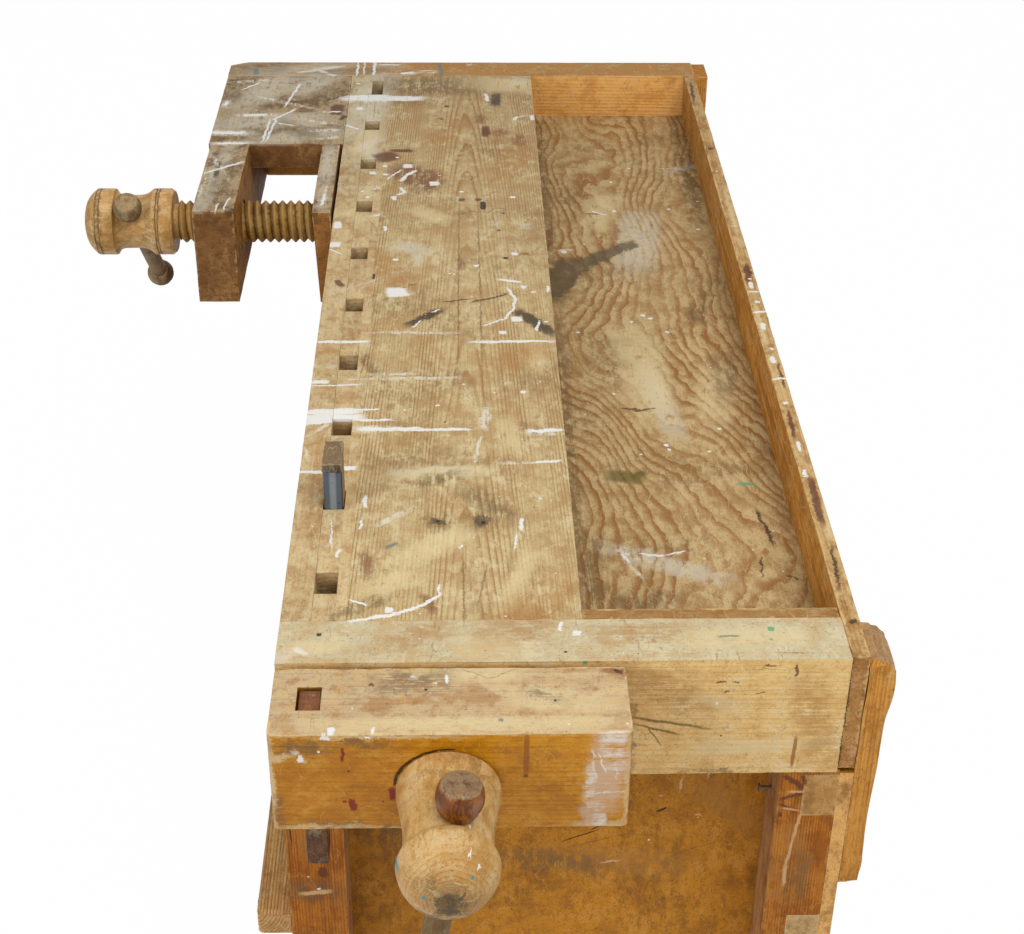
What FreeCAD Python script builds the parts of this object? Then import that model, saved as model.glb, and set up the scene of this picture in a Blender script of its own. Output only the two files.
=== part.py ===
import FreeCAD, Part

import math
import os

# Woodworking bench with an end vise and a shoulder vise.  Millimetres, +Z up.
# Construction axes: X runs across the top from its front edge to its rear board, Y runs along
# the bench away from the end vise, and Z = 0 is the work surface.  On export everything is
# moved so that the origin is the middle of the overall box, on the floor.

Vec = FreeCAD.Vector

# ---------------------------------------------------------------- overall sizes
TOP_LENGTH = 1688.0
TOP_WIDTH = 600.0
BENCH_HEIGHT = 850.0

# ---------------------------------------------------------------- clearances
FACE_GAP = 0.3          # flat faces of moving pieces
RUN_GAP = 0.08          # radial gap of a journal in its bearing
LOOSE_GAP = 0.4         # radial gap of a thread crest or a sliding bar
PIN_GAP = 0.1           # radial gap of a fixed pin in its hole
UPRIGHT = 0.999         # Z share of a direction that counts as upright

# ---------------------------------------------------------------- top
CAP_THICK = 66.0
NEAR_CAP_PROUD = 3.0     # how far the near cap stands out over the legs
CAP_DEPTH = 152.0
SLAB_THICK = 38.0
SLAB_WIDTH = 244.0
FRONT_STRIP_THICK = 32.0
DOG_BACK_THICK = 12.0
DOG_RAIL_DEPTH = 100.0
DOG_HOLE_WIDTH = 24.0
DOG_HOLE_LENGTH = 38.0
DOG_PITCH = 158.0
FIRST_DOG_Y = 131.5
END_HOLE_LENGTH = 65.0
END_HOLE_SHIFT = 12.0
END_HOLE_LAND = 20.0
REPAIR_LENGTH = 56.0
REPAIR_DEPTH = 22.0
REPAIR_EDGE = 5.0
REPAIR_PROUD = 5.0

# ---------------------------------------------------------------- tool tray
TRAY_DEPTH = 74.0
TRAY_FLOOR_THICK = 9.0
INNER_RAIL_THICK = 22.0
INNER_RAIL_DEPTH = 104.0
LEDGER_SIZE = 20.0
TRAY_BATTEN_THICK = 21.0
TRAY_BATTEN_DROP = 3.0
REAR_BOARD_THICK = 19.0
REAR_BOARD_DEPTH = 150.0

# ---------------------------------------------------------------- vise screws
SCREW_CREST_R = 32.7
THREAD_DEPTH = 6.0
THREAD_PITCH = 13.1
NECK_OVER_CREST = 0.3
HUB_COLLAR_R = 51.5
HUB_WAIST_R = 41.5
HUB_NOSE_R = 24.0
HUB_DISH_R = 9.0
HUB_DISH_DEPTH = 4.0
HUB_DISH_BOW = 1.0
HUB_GROOVE_DEPTH = 1.2
HUB_GROOVE_WIDTH = 2.0

# ---------------------------------------------------------------- end vise
JAW_START_X = 1.0
JAW_LENGTH = 350.0
JAW_THICK = 100.5
JAW_DEPTH = 121.0
JAW_DROP = 1.0
JAW_GAP = 7.5
JAW_ROUND = 7.0
END_SCREW_IN_JAW = 173.0
END_SCREW_BELOW_SLAB = 1.3
END_HUB_LENGTH = 143.0
END_BALL_R = 49.5
END_BALL_FROM_NOSE = 38.0
END_BALL_BOW = 5.7
END_BAR_FROM_NOSE = 69.0
END_BAR_OFF_AXIS = 2.5
END_WAIST_BEFORE_BAR = 18.0
END_WAIST_BEFORE_BOW = 1.5
END_WAIST_AFTER_BAR = 20.0
END_COVE_BOW = -0.5
END_COLLAR_WIDTH = 10.0
END_COLLAR_EDGE = 1.6
END_SCREW_TAIL = 300.0
END_SCREW_LEAD = 4.0
END_NECK_BEYOND_KEY = 22.0
END_GROOVE_R = 25.0
END_GROOVE_FROM_FACE = 22.0
END_KEY_THICK = 10.0
END_KEY_WIDTH = 80.0
GUIDE_BAR_SIZE = 28.0
GUIDE_BAR_SPACING = 170.0
GUIDE_BAR_TAIL = 330.0
GUIDE_BAR_SOCKET = 60.0
GUIDE_BLOCK_WIDTH = 40.0
GUIDE_BLOCK_LENGTH = 60.0
GUIDE_BLOCK_FLOOR = 14.0
JAW_DOG_IN_JAW = 25.0
JAW_DOG_FROM_CAP = 39.0
JAW_DOG_HOLE_LENGTH = 35.0
JAW_DOG_DROP = 4.0

# ---------------------------------------------------------------- handles
END_HANDLE_BAR_R = 14.0
END_HANDLE_KNOB_R = 23.5
END_HANDLE_TILT = 8.0
SHOULDER_HANDLE_BAR_R = 13.0
SHOULDER_HANDLE_KNOB_R = 22.0
SHOULDER_HANDLE_TILT = 45.0
HANDLE_LENGTH = 348.0
KNOB_LENGTH = 37.0
KNOB_SOCKET = 27.0
KNOB_BEAD_WIDTH = 8.0
KNOB_BEAD_BOW = 1.2
KNOB_BEAD_IN = 7.0
KNOB_NECK_IN = 3.0
KNOB_BELLY_BOW = 2.4
KNOB_TOP_IN = 1.8
KNOB_FACE_IN = 6.0
KNOB_FACE_EDGE = 7.0

# ---------------------------------------------------------------- shoulder vise
ARM_THICK = 62.0
SHOULDER_REACH = 150.0
SHOULDER_BOARD_LENGTH = 302.0
SHOULDER_BOARD_THICK = 43.0
SHOULDER_RAIL_THICK = 82.0
ARM_OVERHANG = 257.0
SHOULDER_JAW_THICK = 28.0
SHOULDER_JAW_TAPER = 6.5
SHOULDER_SEAT_SPARE = 4.0
SHOULDER_JAW_LENGTH = 261.0
SHOULDER_JAW_DEPTH = 150.0
SHOULDER_JAW_GAP = 5.0
SHOULDER_END_GAP = 1.0
SHOULDER_SCREW_FROM_BOARD = 130.0
SHOULDER_SCREW_Z = -76.0
SHOULDER_HUB_OFF_ARM = 38.0
SHOULDER_HUB_LENGTH = 141.0
SHOULDER_HUB_CHAMFER = 4.0
SHOULDER_NOSE_LENGTH = 19.0
SHOULDER_NOSE_BOW = 3.6
SHOULDER_NOSE_GROOVES = (19.0, 25.0)
SHOULDER_NOSE_BAND = 47.0
SHOULDER_WAIST_HALF = 13.0
SHOULDER_WAIST_BOW = -2.6
SHOULDER_COLLAR_WIDTH = 35.0
SHOULDER_COLLAR_GROOVES = (29.0, 25.0)
SHOULDER_COVE_BOW = -2.0
SHOULDER_BAR_ON_HUB = 73.0
SHOULDER_TENON_R = 22.0
SHOULDER_TENON_WALL = 7.0
SHOULDER_GROOVE_R = 15.0
SHOULDER_GROOVE_FROM_SEAT = 5.0
SHOULDER_KEY_THICK = 7.0
SHOULDER_KEY_WIDTH = 46.0
CAP_HORN = 4.0
CAP_CHAMFER_X = 30.0
CAP_CHAMFER_Y = 16.0
ROD_R = 10.0
ROD_CLEAR = 1.0
ROD_FROM_HOLE = 18.0
ROD_STICKOUT = 2.0
NUT_FLATS = 30.0
NUT_THICK = 19.0
NUT_SINK = 14.0
NUT_SINK_R = 20.0
WASHER_R = 18.0
WASHER_THICK = 4.0

# ---------------------------------------------------------------- bench dogs
DOG_WIDTH = 22.0
DOG_SHANK_LENGTH = 32.0
DOG_TOTAL = 204.0
DOG_RISE = 61.0
DOG_HEAD_LENGTH = 50.0
DOG_HEAD_THICK = 11.0
DOG_HEAD_TOE = 8.0
SPRING_THICK = 1.5
SPRING_WIDTH = 19.0
SPRING_BELOW = 60.0
SPRING_TOP_GAP = 2.0

# ---------------------------------------------------------------- base
LEG_X = 63.0
LEG_Y = 67.0
LEG_FRONT_PROUD = 3.0
REAR_RAIL_THICK = 37.0
FRONT_RAIL_THICK = 30.0
TOP_RAIL_DROP = 6.0
RAIL_DEPTH = 58.0
MID_RAIL_TOP = 367.0
LEDGE_TOP = 358.0
LEDGE_THICK = 28.0
LEDGE_WIDTH = 38.0
LEDGE_ROUND = 8.0
BOTTOM_RAIL_LIFT = 22.0
END_RAIL_THICK = 36.0
END_RAIL_SETBACK = 14.0
TENON_LENGTH = 20.0
TENON_SHOULDER = 8.0
END_PANEL_THICK = 6.0
END_PANEL_RECESS = 58.0
END_PANEL_GROOVE = 8.0
BACK_PANEL_THICK = 15.0
BACK_PANEL_DROP = 4.0
SHELF_THICK = 15.0
DOWEL_R = 8.0
DOWEL_REACH = 40.0
CLEAT_THICK = 24.0
CLEAT_WIDTH = 62.0
CLEAT_TOP = 3.0
CLEAT_BOTTOM = 317.0
CLEAT_SCREW_SHARES = (0.2, 0.8)     # places of the two screws down the rear board

# ---------------------------------------------------------------- fasteners
SCREW_HEAD_R = 4.5
SCREW_HEAD_H = 2.0
SCREW_HEAD_FLAT_R = 2.7
SCREW_HEAD_BOW = 0.5
SCREW_SHANK_R = 2.2
SCREW_TIP = 7.0
CLEAT_SCREW_LENGTH = 34.0
PANEL_SCREW_LENGTH = 32.0
LEDGE_SCREW_LENGTH = 66.0
FLOOR_SCREW_LENGTH = 27.0
PANEL_SCREW_COUNT = 6
FLOOR_SCREW_COUNT = 6
COACH_HEAD_FLATS = 17.0
COACH_HEAD_H = 7.0
COACH_SHANK_R = 5.0
COACH_LENGTH = 150.0
COACH_WASHER_R = 10.5
COACH_WASHER_H = 2.5
COACH_SINK_R = 11.5
NAIL_R = 2.0
NAIL_HEAD_R = 5.0
NAIL_HEAD_H = 1.5
NAIL_OUT = 12.0
NAIL_IN = 22.0
NAIL_Y = 37.0
NAIL_BELOW_LEG_TOP = 57.0

# ---------------------------------------------------------------- derived places
near_face_y = -NEAR_CAP_PROUD
near_inner = CAP_THICK
far_inner = TOP_LENGTH - CAP_THICK
dog_x0 = FRONT_STRIP_THICK
dog_x1 = dog_x0 + DOG_HOLE_WIDTH
slab_x0 = dog_x1 + DOG_BACK_THICK
slab_x1 = slab_x0 + SLAB_WIDTH
rear_x0 = TOP_WIDTH - REAR_BOARD_THICK
inner_rail_x0 = slab_x1 - INNER_RAIL_THICK
tray_floor_z = -TRAY_DEPTH
tray_under_z = tray_floor_z - TRAY_FLOOR_THICK
floor_z = -BENCH_HEIGHT
root_r = SCREW_CREST_R - THREAD_DEPTH
neck_r = SCREW_CREST_R + NECK_OVER_CREST

end_margin = END_HOLE_LENGTH / 2 + END_HOLE_SHIFT + END_HOLE_LAND
dog_count = int((far_inner - end_margin - FIRST_DOG_Y) / DOG_PITCH) + 1
dog_centres = [FIRST_DOG_Y + i * DOG_PITCH for i in range(dog_count)]
dog_spans = [[c - DOG_HOLE_LENGTH / 2, c + DOG_HOLE_LENGTH / 2] for c in dog_centres]
last_centre = dog_centres[-1] + END_HOLE_SHIFT
dog_spans[-1] = [last_centre - END_HOLE_LENGTH / 2, last_centre + END_HOLE_LENGTH / 2]

jaw_x1 = JAW_START_X + JAW_LENGTH
jaw_back_y = near_face_y - JAW_GAP
jaw_face_y = jaw_back_y - JAW_THICK
jaw_top_z = -JAW_DROP
jaw_bottom_z = jaw_top_z - JAW_DEPTH
end_screw_x = JAW_START_X + END_SCREW_IN_JAW
end_screw_z = -(SLAB_THICK + SCREW_CREST_R + END_SCREW_BELOW_SLAB)
end_bar_y = jaw_face_y - END_HUB_LENGTH + END_BAR_FROM_NOSE

arm_x1 = -SHOULDER_REACH
arm_x0 = arm_x1 - ARM_THICK
horn_x = arm_x0 - CAP_HORN
board_y0 = far_inner - SHOULDER_BOARD_LENGTH
arm_y0 = board_y0 - ARM_OVERHANG
rail_y0 = far_inner - SHOULDER_RAIL_THICK
board_under_z = -SHOULDER_BOARD_THICK
arm_under_z = -CAP_DEPTH
shoulder_y = board_y0 - SHOULDER_SCREW_FROM_BOARD
shoulder_jaw_x1 = -SHOULDER_JAW_GAP
shoulder_jaw_x0 = shoulder_jaw_x1 - SHOULDER_JAW_THICK
seat_share = (root_r + SHOULDER_SEAT_SPARE - SHOULDER_SCREW_Z) / SHOULDER_JAW_DEPTH
shoulder_seat_x = shoulder_jaw_x0 + SHOULDER_JAW_TAPER * seat_share
shoulder_jaw_y1 = board_y0 - SHOULDER_END_GAP
shoulder_jaw_y0 = shoulder_jaw_y1 - SHOULDER_JAW_LENGTH
shoulder_hub_x1 = arm_x0 - SHOULDER_HUB_OFF_ARM
shoulder_hub_x0 = shoulder_hub_x1 - SHOULDER_HUB_CHAMFER - SHOULDER_HUB_LENGTH
shoulder_bar_x = shoulder_hub_x0 + SHOULDER_BAR_ON_HUB
rod_ys = [y1 + ROD_FROM_HOLE for _, y1 in dog_spans]
rod_y = min(y for y in rod_ys if y > board_y0 + NUT_SINK_R)
rod_z = -(max(SLAB_THICK + WASHER_R, SHOULDER_BOARD_THICK + NUT_SINK_R) + ROD_CLEAR)

leg_top_z = -CAP_DEPTH
front_leg_x0 = -LEG_FRONT_PROUD
front_leg_x1 = front_leg_x0 + LEG_X
rear_leg_x1 = TOP_WIDTH - BACK_PANEL_THICK
rear_leg_x0 = rear_leg_x1 - LEG_X
far_leg_y0 = TOP_LENGTH - LEG_Y
rear_rail_x0 = rear_leg_x1 - REAR_RAIL_THICK
front_rail_x1 = front_leg_x0 + FRONT_RAIL_THICK
top_rail_z1 = leg_top_z - TOP_RAIL_DROP
top_rail_z0 = top_rail_z1 - RAIL_DEPTH
mid_rail_z1 = -MID_RAIL_TOP
mid_rail_z0 = mid_rail_z1 - RAIL_DEPTH
low_rail_z0 = floor_z + BOTTOM_RAIL_LIFT
low_rail_z1 = low_rail_z0 + RAIL_DEPTH
cleat_x1 = TOP_WIDTH + CLEAT_THICK

# The overall box: hub noses are its low X and low Y ends, the rear cleats' screws its high X side.
box_x0 = shoulder_hub_x0
box_x1 = cleat_x1 + SCREW_HEAD_H
box_y0 = jaw_face_y - END_HUB_LENGTH
box_y1 = TOP_LENGTH
SHIFT = Vec(-(box_x0 + box_x1) / 2, -(box_y0 + box_y1) / 2, BENCH_HEIGHT)


# ---------------------------------------------------------------- helpers
def block(x0, x1, y0, y1, z0, z1):
    """A board given by its low and high faces."""
    return Part.makeBox(x1 - x0, y1 - y0, z1 - z0, Vec(x0, y0, z0))


def rod(radius, start, along, length):
    """A round bar from start along a direction."""
    return Part.makeCylinder(radius, length, start, along)


def turned(steps, start, along):
    """A turned piece, from its outline of (distance along the axis, radius) steps.

    A step is a point for a straight run to it, or a point with a third number for an arc to it,
    which stands off its chord by that much in the middle, outwards where it is positive.  The
    outline starts and ends on the axis.
    """
    edges = []
    here = steps[0]
    for step in steps[1:]:
        start_at = Vec(here[1], 0, here[0])
        end_at = Vec(step[1], 0, step[0])
        if len(step) > 2:
            chord = end_at - start_at
            outward = Vec(chord.z, 0, -chord.x).normalize()
            edges.append(Part.Arc(start_at, (start_at + end_at) / 2 + outward * step[2], end_at).toShape())
        else:
            edges.append(Part.makeLine(start_at, end_at))
        here = step
    first = steps[0]
    edges.append(Part.makeLine(Vec(here[1], 0, here[0]), Vec(first[1], 0, first[0])))
    solid = Part.Face(Part.Wire(edges)).revolve(Vec(0, 0, 0), Vec(0, 0, 1), 360)
    solid.Placement = FreeCAD.Placement(start, FreeCAD.Rotation(Vec(0, 0, 1), along))
    return solid


def prism(points, height, z0):
    """An upright piece from an outline in X and Y."""
    corners = [Vec(x, y, z0) for x, y in points]
    face = Part.Face(Part.makePolygon(corners + corners[:1]))
    return face.extrude(Vec(0, 0, height))


def hexagon(flats, thick, centre, along):
    """A hexagonal nut or head without its bore."""
    radius = flats / math.sqrt(3)
    corners = [Vec(radius * math.cos(math.radians(60 * i)), radius * math.sin(math.radians(60 * i)), 0)
               for i in range(6)]
    solid = Part.Face(Part.makePolygon(corners + corners[:1])).extrude(Vec(0, 0, thick))
    solid.Placement = FreeCAD.Placement(centre, FreeCAD.Rotation(Vec(0, 0, 1), along))
    return solid


def ring_groove(s):
    """A V groove turned in a hub's full radius from s on, as outline points."""
    return [(s, HUB_COLLAR_R), (s + HUB_GROOVE_WIDTH / 2, HUB_COLLAR_R - HUB_GROOVE_DEPTH),
            (s + HUB_GROOVE_WIDTH, HUB_COLLAR_R)]


def hub_nose():
    """The dished end of a hub, as outline points from the axis to its rim."""
    return [(HUB_DISH_DEPTH, 0), (0, HUB_DISH_R, -HUB_DISH_BOW), (0, HUB_NOSE_R)]


def thread_steps(s0, s1):
    """The V ridges of a thread between two distances, as outline points."""
    turns = int((s1 - s0) / THREAD_PITCH)
    steps = [(s0, root_r)]
    for i in range(turns):
        steps.append((s0 + (i + 0.5) * THREAD_PITCH, SCREW_CREST_R))
        steps.append((s0 + (i + 1) * THREAD_PITCH, root_r))
    return steps


def wood_screw(head_at, inward, length):
    """A round-head screw whose head lies on a face, driven along inward."""
    head = [(-SCREW_HEAD_H, 0), (-SCREW_HEAD_H, SCREW_HEAD_FLAT_R), (0, SCREW_HEAD_R, SCREW_HEAD_BOW)]
    shank = [(0, SCREW_SHANK_R), (length - SCREW_TIP, SCREW_SHANK_R), (length, 0)]
    return turned(head + shank, head_at, inward)


def wood_screw_hole(head_at, inward, length):
    """The pilot hole that a wood screw fills."""
    return rod(SCREW_SHANK_R + PIN_GAP, head_at, inward, length + PIN_GAP)


def coach_screw(face_at, inward):
    """A hexagon-head coach screw with its washer, head sunk below a face by its own height."""
    sink = COACH_HEAD_H + COACH_WASHER_H
    seat = face_at + inward * sink
    washer_at = seat - inward * COACH_WASHER_H
    washer = rod(COACH_WASHER_R, washer_at, inward, COACH_WASHER_H)
    washer = washer.cut(rod(COACH_SHANK_R + PIN_GAP, washer_at, inward, COACH_WASHER_H))
    head = hexagon(COACH_HEAD_FLATS, COACH_HEAD_H, face_at, inward)
    shank = rod(COACH_SHANK_R, face_at + inward * COACH_HEAD_H, inward, COACH_LENGTH)
    return [head.fuse(shank).removeSplitter(), washer]


def coach_hole(face_at, inward):
    """The counterbore and hole for one coach screw."""
    sink = COACH_HEAD_H + COACH_WASHER_H
    hole = rod(COACH_SHANK_R + PIN_GAP, face_at, inward, COACH_HEAD_H + COACH_LENGTH + PIN_GAP)
    return hole.fuse(rod(COACH_SINK_R, face_at, inward, sink))


def garter_key(axis_at, width, thick, notch_r, foot_z, along):
    """A flat key pushed up from below, forked round a screw's groove."""
    height = axis_at.z - foot_z
    if along == "x":
        key = Part.makeBox(thick, width, height, Vec(axis_at.x, axis_at.y - width / 2, foot_z))
        notch = rod(notch_r, axis_at, Vec(1, 0, 0), thick)
    else:
        key = Part.makeBox(width, thick, height, Vec(axis_at.x - width / 2, axis_at.y, foot_z))
        notch = rod(notch_r, axis_at, Vec(0, 1, 0), thick)
    return key.cut(notch)


def tenoned_rail(x0, x1, y0, y1, z0, z1):
    """A cross rail with a tenon at each end, running along X."""
    tenon = block(x0 - TENON_LENGTH, x1 + TENON_LENGTH, y0 + TENON_SHOULDER, y1 - TENON_SHOULDER,
                  z0 + TENON_SHOULDER, z1 - TENON_SHOULDER)
    return block(x0, x1, y0, y1, z0, z1).fuse(tenon)


def upright_edges(shape):
    """The edges of a shape that run along Z."""
    return [e for e in shape.Edges if abs(e.tangentAt(e.FirstParameter).z) > UPRIGHT]


def cut_all(shape, tools):
    """The shape with each tool cut from it."""
    for tool in tools:
        shape = shape.cut(tool)
    return shape


def export(name, solids):
    """Write one node from its solids, moved to the part's frame."""
    moved = []
    for solid in solids:
        copy = solid.copy()
        copy.translate(SHIFT)
        moved.append(copy)
    shape = moved[0] if len(moved) == 1 else Part.makeCompound(moved)
    shape.exportStep("parts/" + name + ".step")


# ---------------------------------------------------------------- holes shared by several pieces
X = Vec(1, 0, 0)
Y = Vec(0, 1, 0)
Z = Vec(0, 0, 1)

end_axis_at = Vec(end_screw_x, jaw_face_y, end_screw_z)
guide_bar_xs = [end_screw_x - GUIDE_BAR_SPACING / 2, end_screw_x + GUIDE_BAR_SPACING / 2]
guide_z0 = end_screw_z - GUIDE_BAR_SIZE / 2
guide_z1 = end_screw_z + GUIDE_BAR_SIZE / 2
guide_mortises = [block(x - GUIDE_BAR_SIZE / 2 - FACE_GAP, x + GUIDE_BAR_SIZE / 2 + FACE_GAP,
                        near_face_y, near_inner + GUIDE_BLOCK_LENGTH,
                        guide_z0 - FACE_GAP, guide_z1 + FACE_GAP) for x in guide_bar_xs]
end_screw_hole = rod(SCREW_CREST_R + LOOSE_GAP, Vec(end_screw_x, near_face_y, end_screw_z), Y,
                     near_inner - near_face_y)

slab_mid_z = -SLAB_THICK / 2
near_coach_at = [Vec(x, near_face_y, slab_mid_z) for x in guide_bar_xs]
far_coach_at = [Vec(p.x, TOP_LENGTH, p.z) for p in near_coach_at]

nut_seat_x = arm_x0 + NUT_SINK
rod_start = nut_seat_x - WASHER_THICK - NUT_THICK - ROD_STICKOUT
rod_end = slab_x0 + WASHER_THICK + NUT_THICK + ROD_STICKOUT
rod_hole = rod(ROD_R + PIN_GAP, Vec(arm_x0, rod_y, rod_z), X, slab_x0 - arm_x0)

dowel_xs = [(front_rail_x1 + front_leg_x1) / 2, (rear_leg_x0 + rear_rail_x0) / 2]
dowel_ys = [LEG_Y / 2, TOP_LENGTH - LEG_Y / 2]
dowel_holes = [rod(DOWEL_R + PIN_GAP, Vec(x, y, leg_top_z - DOWEL_REACH), Z, 2 * DOWEL_REACH)
               for x in dowel_xs for y in dowel_ys]


# ---------------------------------------------------------------- top
def make_top():
    strip = block(0, dog_x0, near_inner, far_inner, -DOG_RAIL_DEPTH, 0)
    repair_y0 = dog_spans[-1][0] + (END_HOLE_LENGTH - REPAIR_LENGTH) / 2
    repair = block(REPAIR_EDGE, dog_x0 + REPAIR_PROUD, repair_y0, repair_y0 + REPAIR_LENGTH,
                   -REPAIR_DEPTH, 0)
    export("front_strip", [cut_all(strip, [repair, rod_hole])])
    export("repair_block", [repair])

    edges = [near_inner] + [y for span in dog_spans for y in span] + [far_inner]
    blocks = [block(dog_x0, dog_x1, y0, y1, -DOG_RAIL_DEPTH, 0).cut(rod_hole)
              for y0, y1 in zip(edges[0::2], edges[1::2])]
    export("dog_blocks", blocks)

    back = block(dog_x1, slab_x0, near_inner, far_inner, -DOG_RAIL_DEPTH, 0)
    export("dog_back_strip", [back.cut(rod_hole)])

    slab = block(slab_x0, slab_x1, near_inner, far_inner, -SLAB_THICK, 0)
    coach_holes = [coach_hole(p, Y) for p in near_coach_at] + [coach_hole(p, -Y) for p in far_coach_at]
    export("top_slab", [cut_all(slab, coach_holes)])

    near_cap = block(0, rear_x0, near_face_y, near_inner, -CAP_DEPTH, 0)
    near_cap = cut_all(near_cap, guide_mortises + [end_screw_hole] + coach_holes + dowel_holes)
    export("near_end_cap", [near_cap])

    far_cap = prism([(horn_x, far_inner), (TOP_WIDTH, far_inner), (TOP_WIDTH, TOP_LENGTH),
                     (horn_x + CAP_CHAMFER_X, TOP_LENGTH), (horn_x, TOP_LENGTH - CAP_CHAMFER_Y)],
                    CAP_DEPTH, -CAP_DEPTH)
    cleat_holes = [wood_screw_hole(p, -X, CLEAT_SCREW_LENGTH) for p in cleat_screw_at()]
    export("far_end_cap", [cut_all(far_cap, coach_holes + dowel_holes + cleat_holes)])

    export("near_cap_screws", [s for p in near_coach_at for s in coach_screw(p, Y)])
    export("far_cap_screws", [s for p in far_coach_at for s in coach_screw(p, -Y)])


def make_tray():
    inner = block(inner_rail_x0, slab_x1, near_inner, far_inner, -INNER_RAIL_DEPTH, -SLAB_THICK)
    export("tray_inner_rail", [inner])

    rear = block(rear_x0, TOP_WIDTH, 0, far_inner, -REAR_BOARD_DEPTH, 0)
    cleat_holes = [wood_screw_hole(p, -X, CLEAT_SCREW_LENGTH) for p in cleat_screw_at()]
    export("rear_board", [cut_all(rear, cleat_holes)])

    ledger_z0 = tray_under_z - LEDGER_SIZE
    ledgers = [block(slab_x1, slab_x1 + LEDGER_SIZE, near_inner, far_inner, ledger_z0, tray_under_z),
               block(rear_x0 - LEDGER_SIZE, rear_x0, near_inner, far_inner, ledger_z0, tray_under_z)]
    floor = block(slab_x1, rear_x0, near_inner, far_inner, tray_under_z, tray_floor_z)
    run = far_inner - near_inner
    screws_at = [Vec(x, near_inner + run * (i + 0.5) / FLOOR_SCREW_COUNT, ledger_z0)
                 for x in (slab_x1 + LEDGER_SIZE / 2, rear_x0 - LEDGER_SIZE / 2)
                 for i in range(FLOOR_SCREW_COUNT)]
    holes = [wood_screw_hole(p, Z, FLOOR_SCREW_LENGTH) for p in screws_at]
    export("tray_ledgers", [cut_all(ledger, holes) for ledger in ledgers])
    export("tray_floor", [cut_all(floor, holes)])
    export("tray_floor_screws", [wood_screw(p, Z, FLOOR_SCREW_LENGTH) for p in screws_at])

    batten = block(slab_x1, rear_x0, near_inner, near_inner + TRAY_BATTEN_THICK,
                   tray_floor_z, -TRAY_BATTEN_DROP)
    export("tray_end_batten", [batten])


# ---------------------------------------------------------------- end vise
def make_handle(prefix, bar_r, knob_r, axis_at, along, waist_r):
    """A sliding handle: a bar with a knob at each end, its upper knob seated on the hub."""
    seat = waist_r + FACE_GAP
    top = axis_at + along * (seat + KNOB_LENGTH)
    foot = top - along * HANDLE_LENGTH
    knob_wall = KNOB_LENGTH - KNOB_SOCKET
    bar = rod(bar_r, foot + along * knob_wall, along, HANDLE_LENGTH - 2 * knob_wall)
    outline = [(0, 0), (0, knob_r - KNOB_BEAD_IN), (KNOB_BEAD_WIDTH, knob_r - KNOB_NECK_IN, KNOB_BEAD_BOW),
               (KNOB_LENGTH - KNOB_FACE_EDGE, knob_r - KNOB_TOP_IN, KNOB_BELLY_BOW),
               (KNOB_LENGTH, knob_r - KNOB_FACE_IN), (KNOB_LENGTH, 0)]
    socket_r = bar_r + PIN_GAP
    upper = turned(outline, axis_at + along * seat, along)
    upper = upper.cut(rod(socket_r, axis_at + along * seat, along, KNOB_SOCKET))
    lower = turned(outline, foot + along * KNOB_LENGTH, -along)
    lower = lower.cut(rod(socket_r, foot + along * knob_wall, along, KNOB_SOCKET))
    export(prefix + "_handle_bar", [bar])
    export(prefix + "_handle_knobs", [upper, lower])


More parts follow.
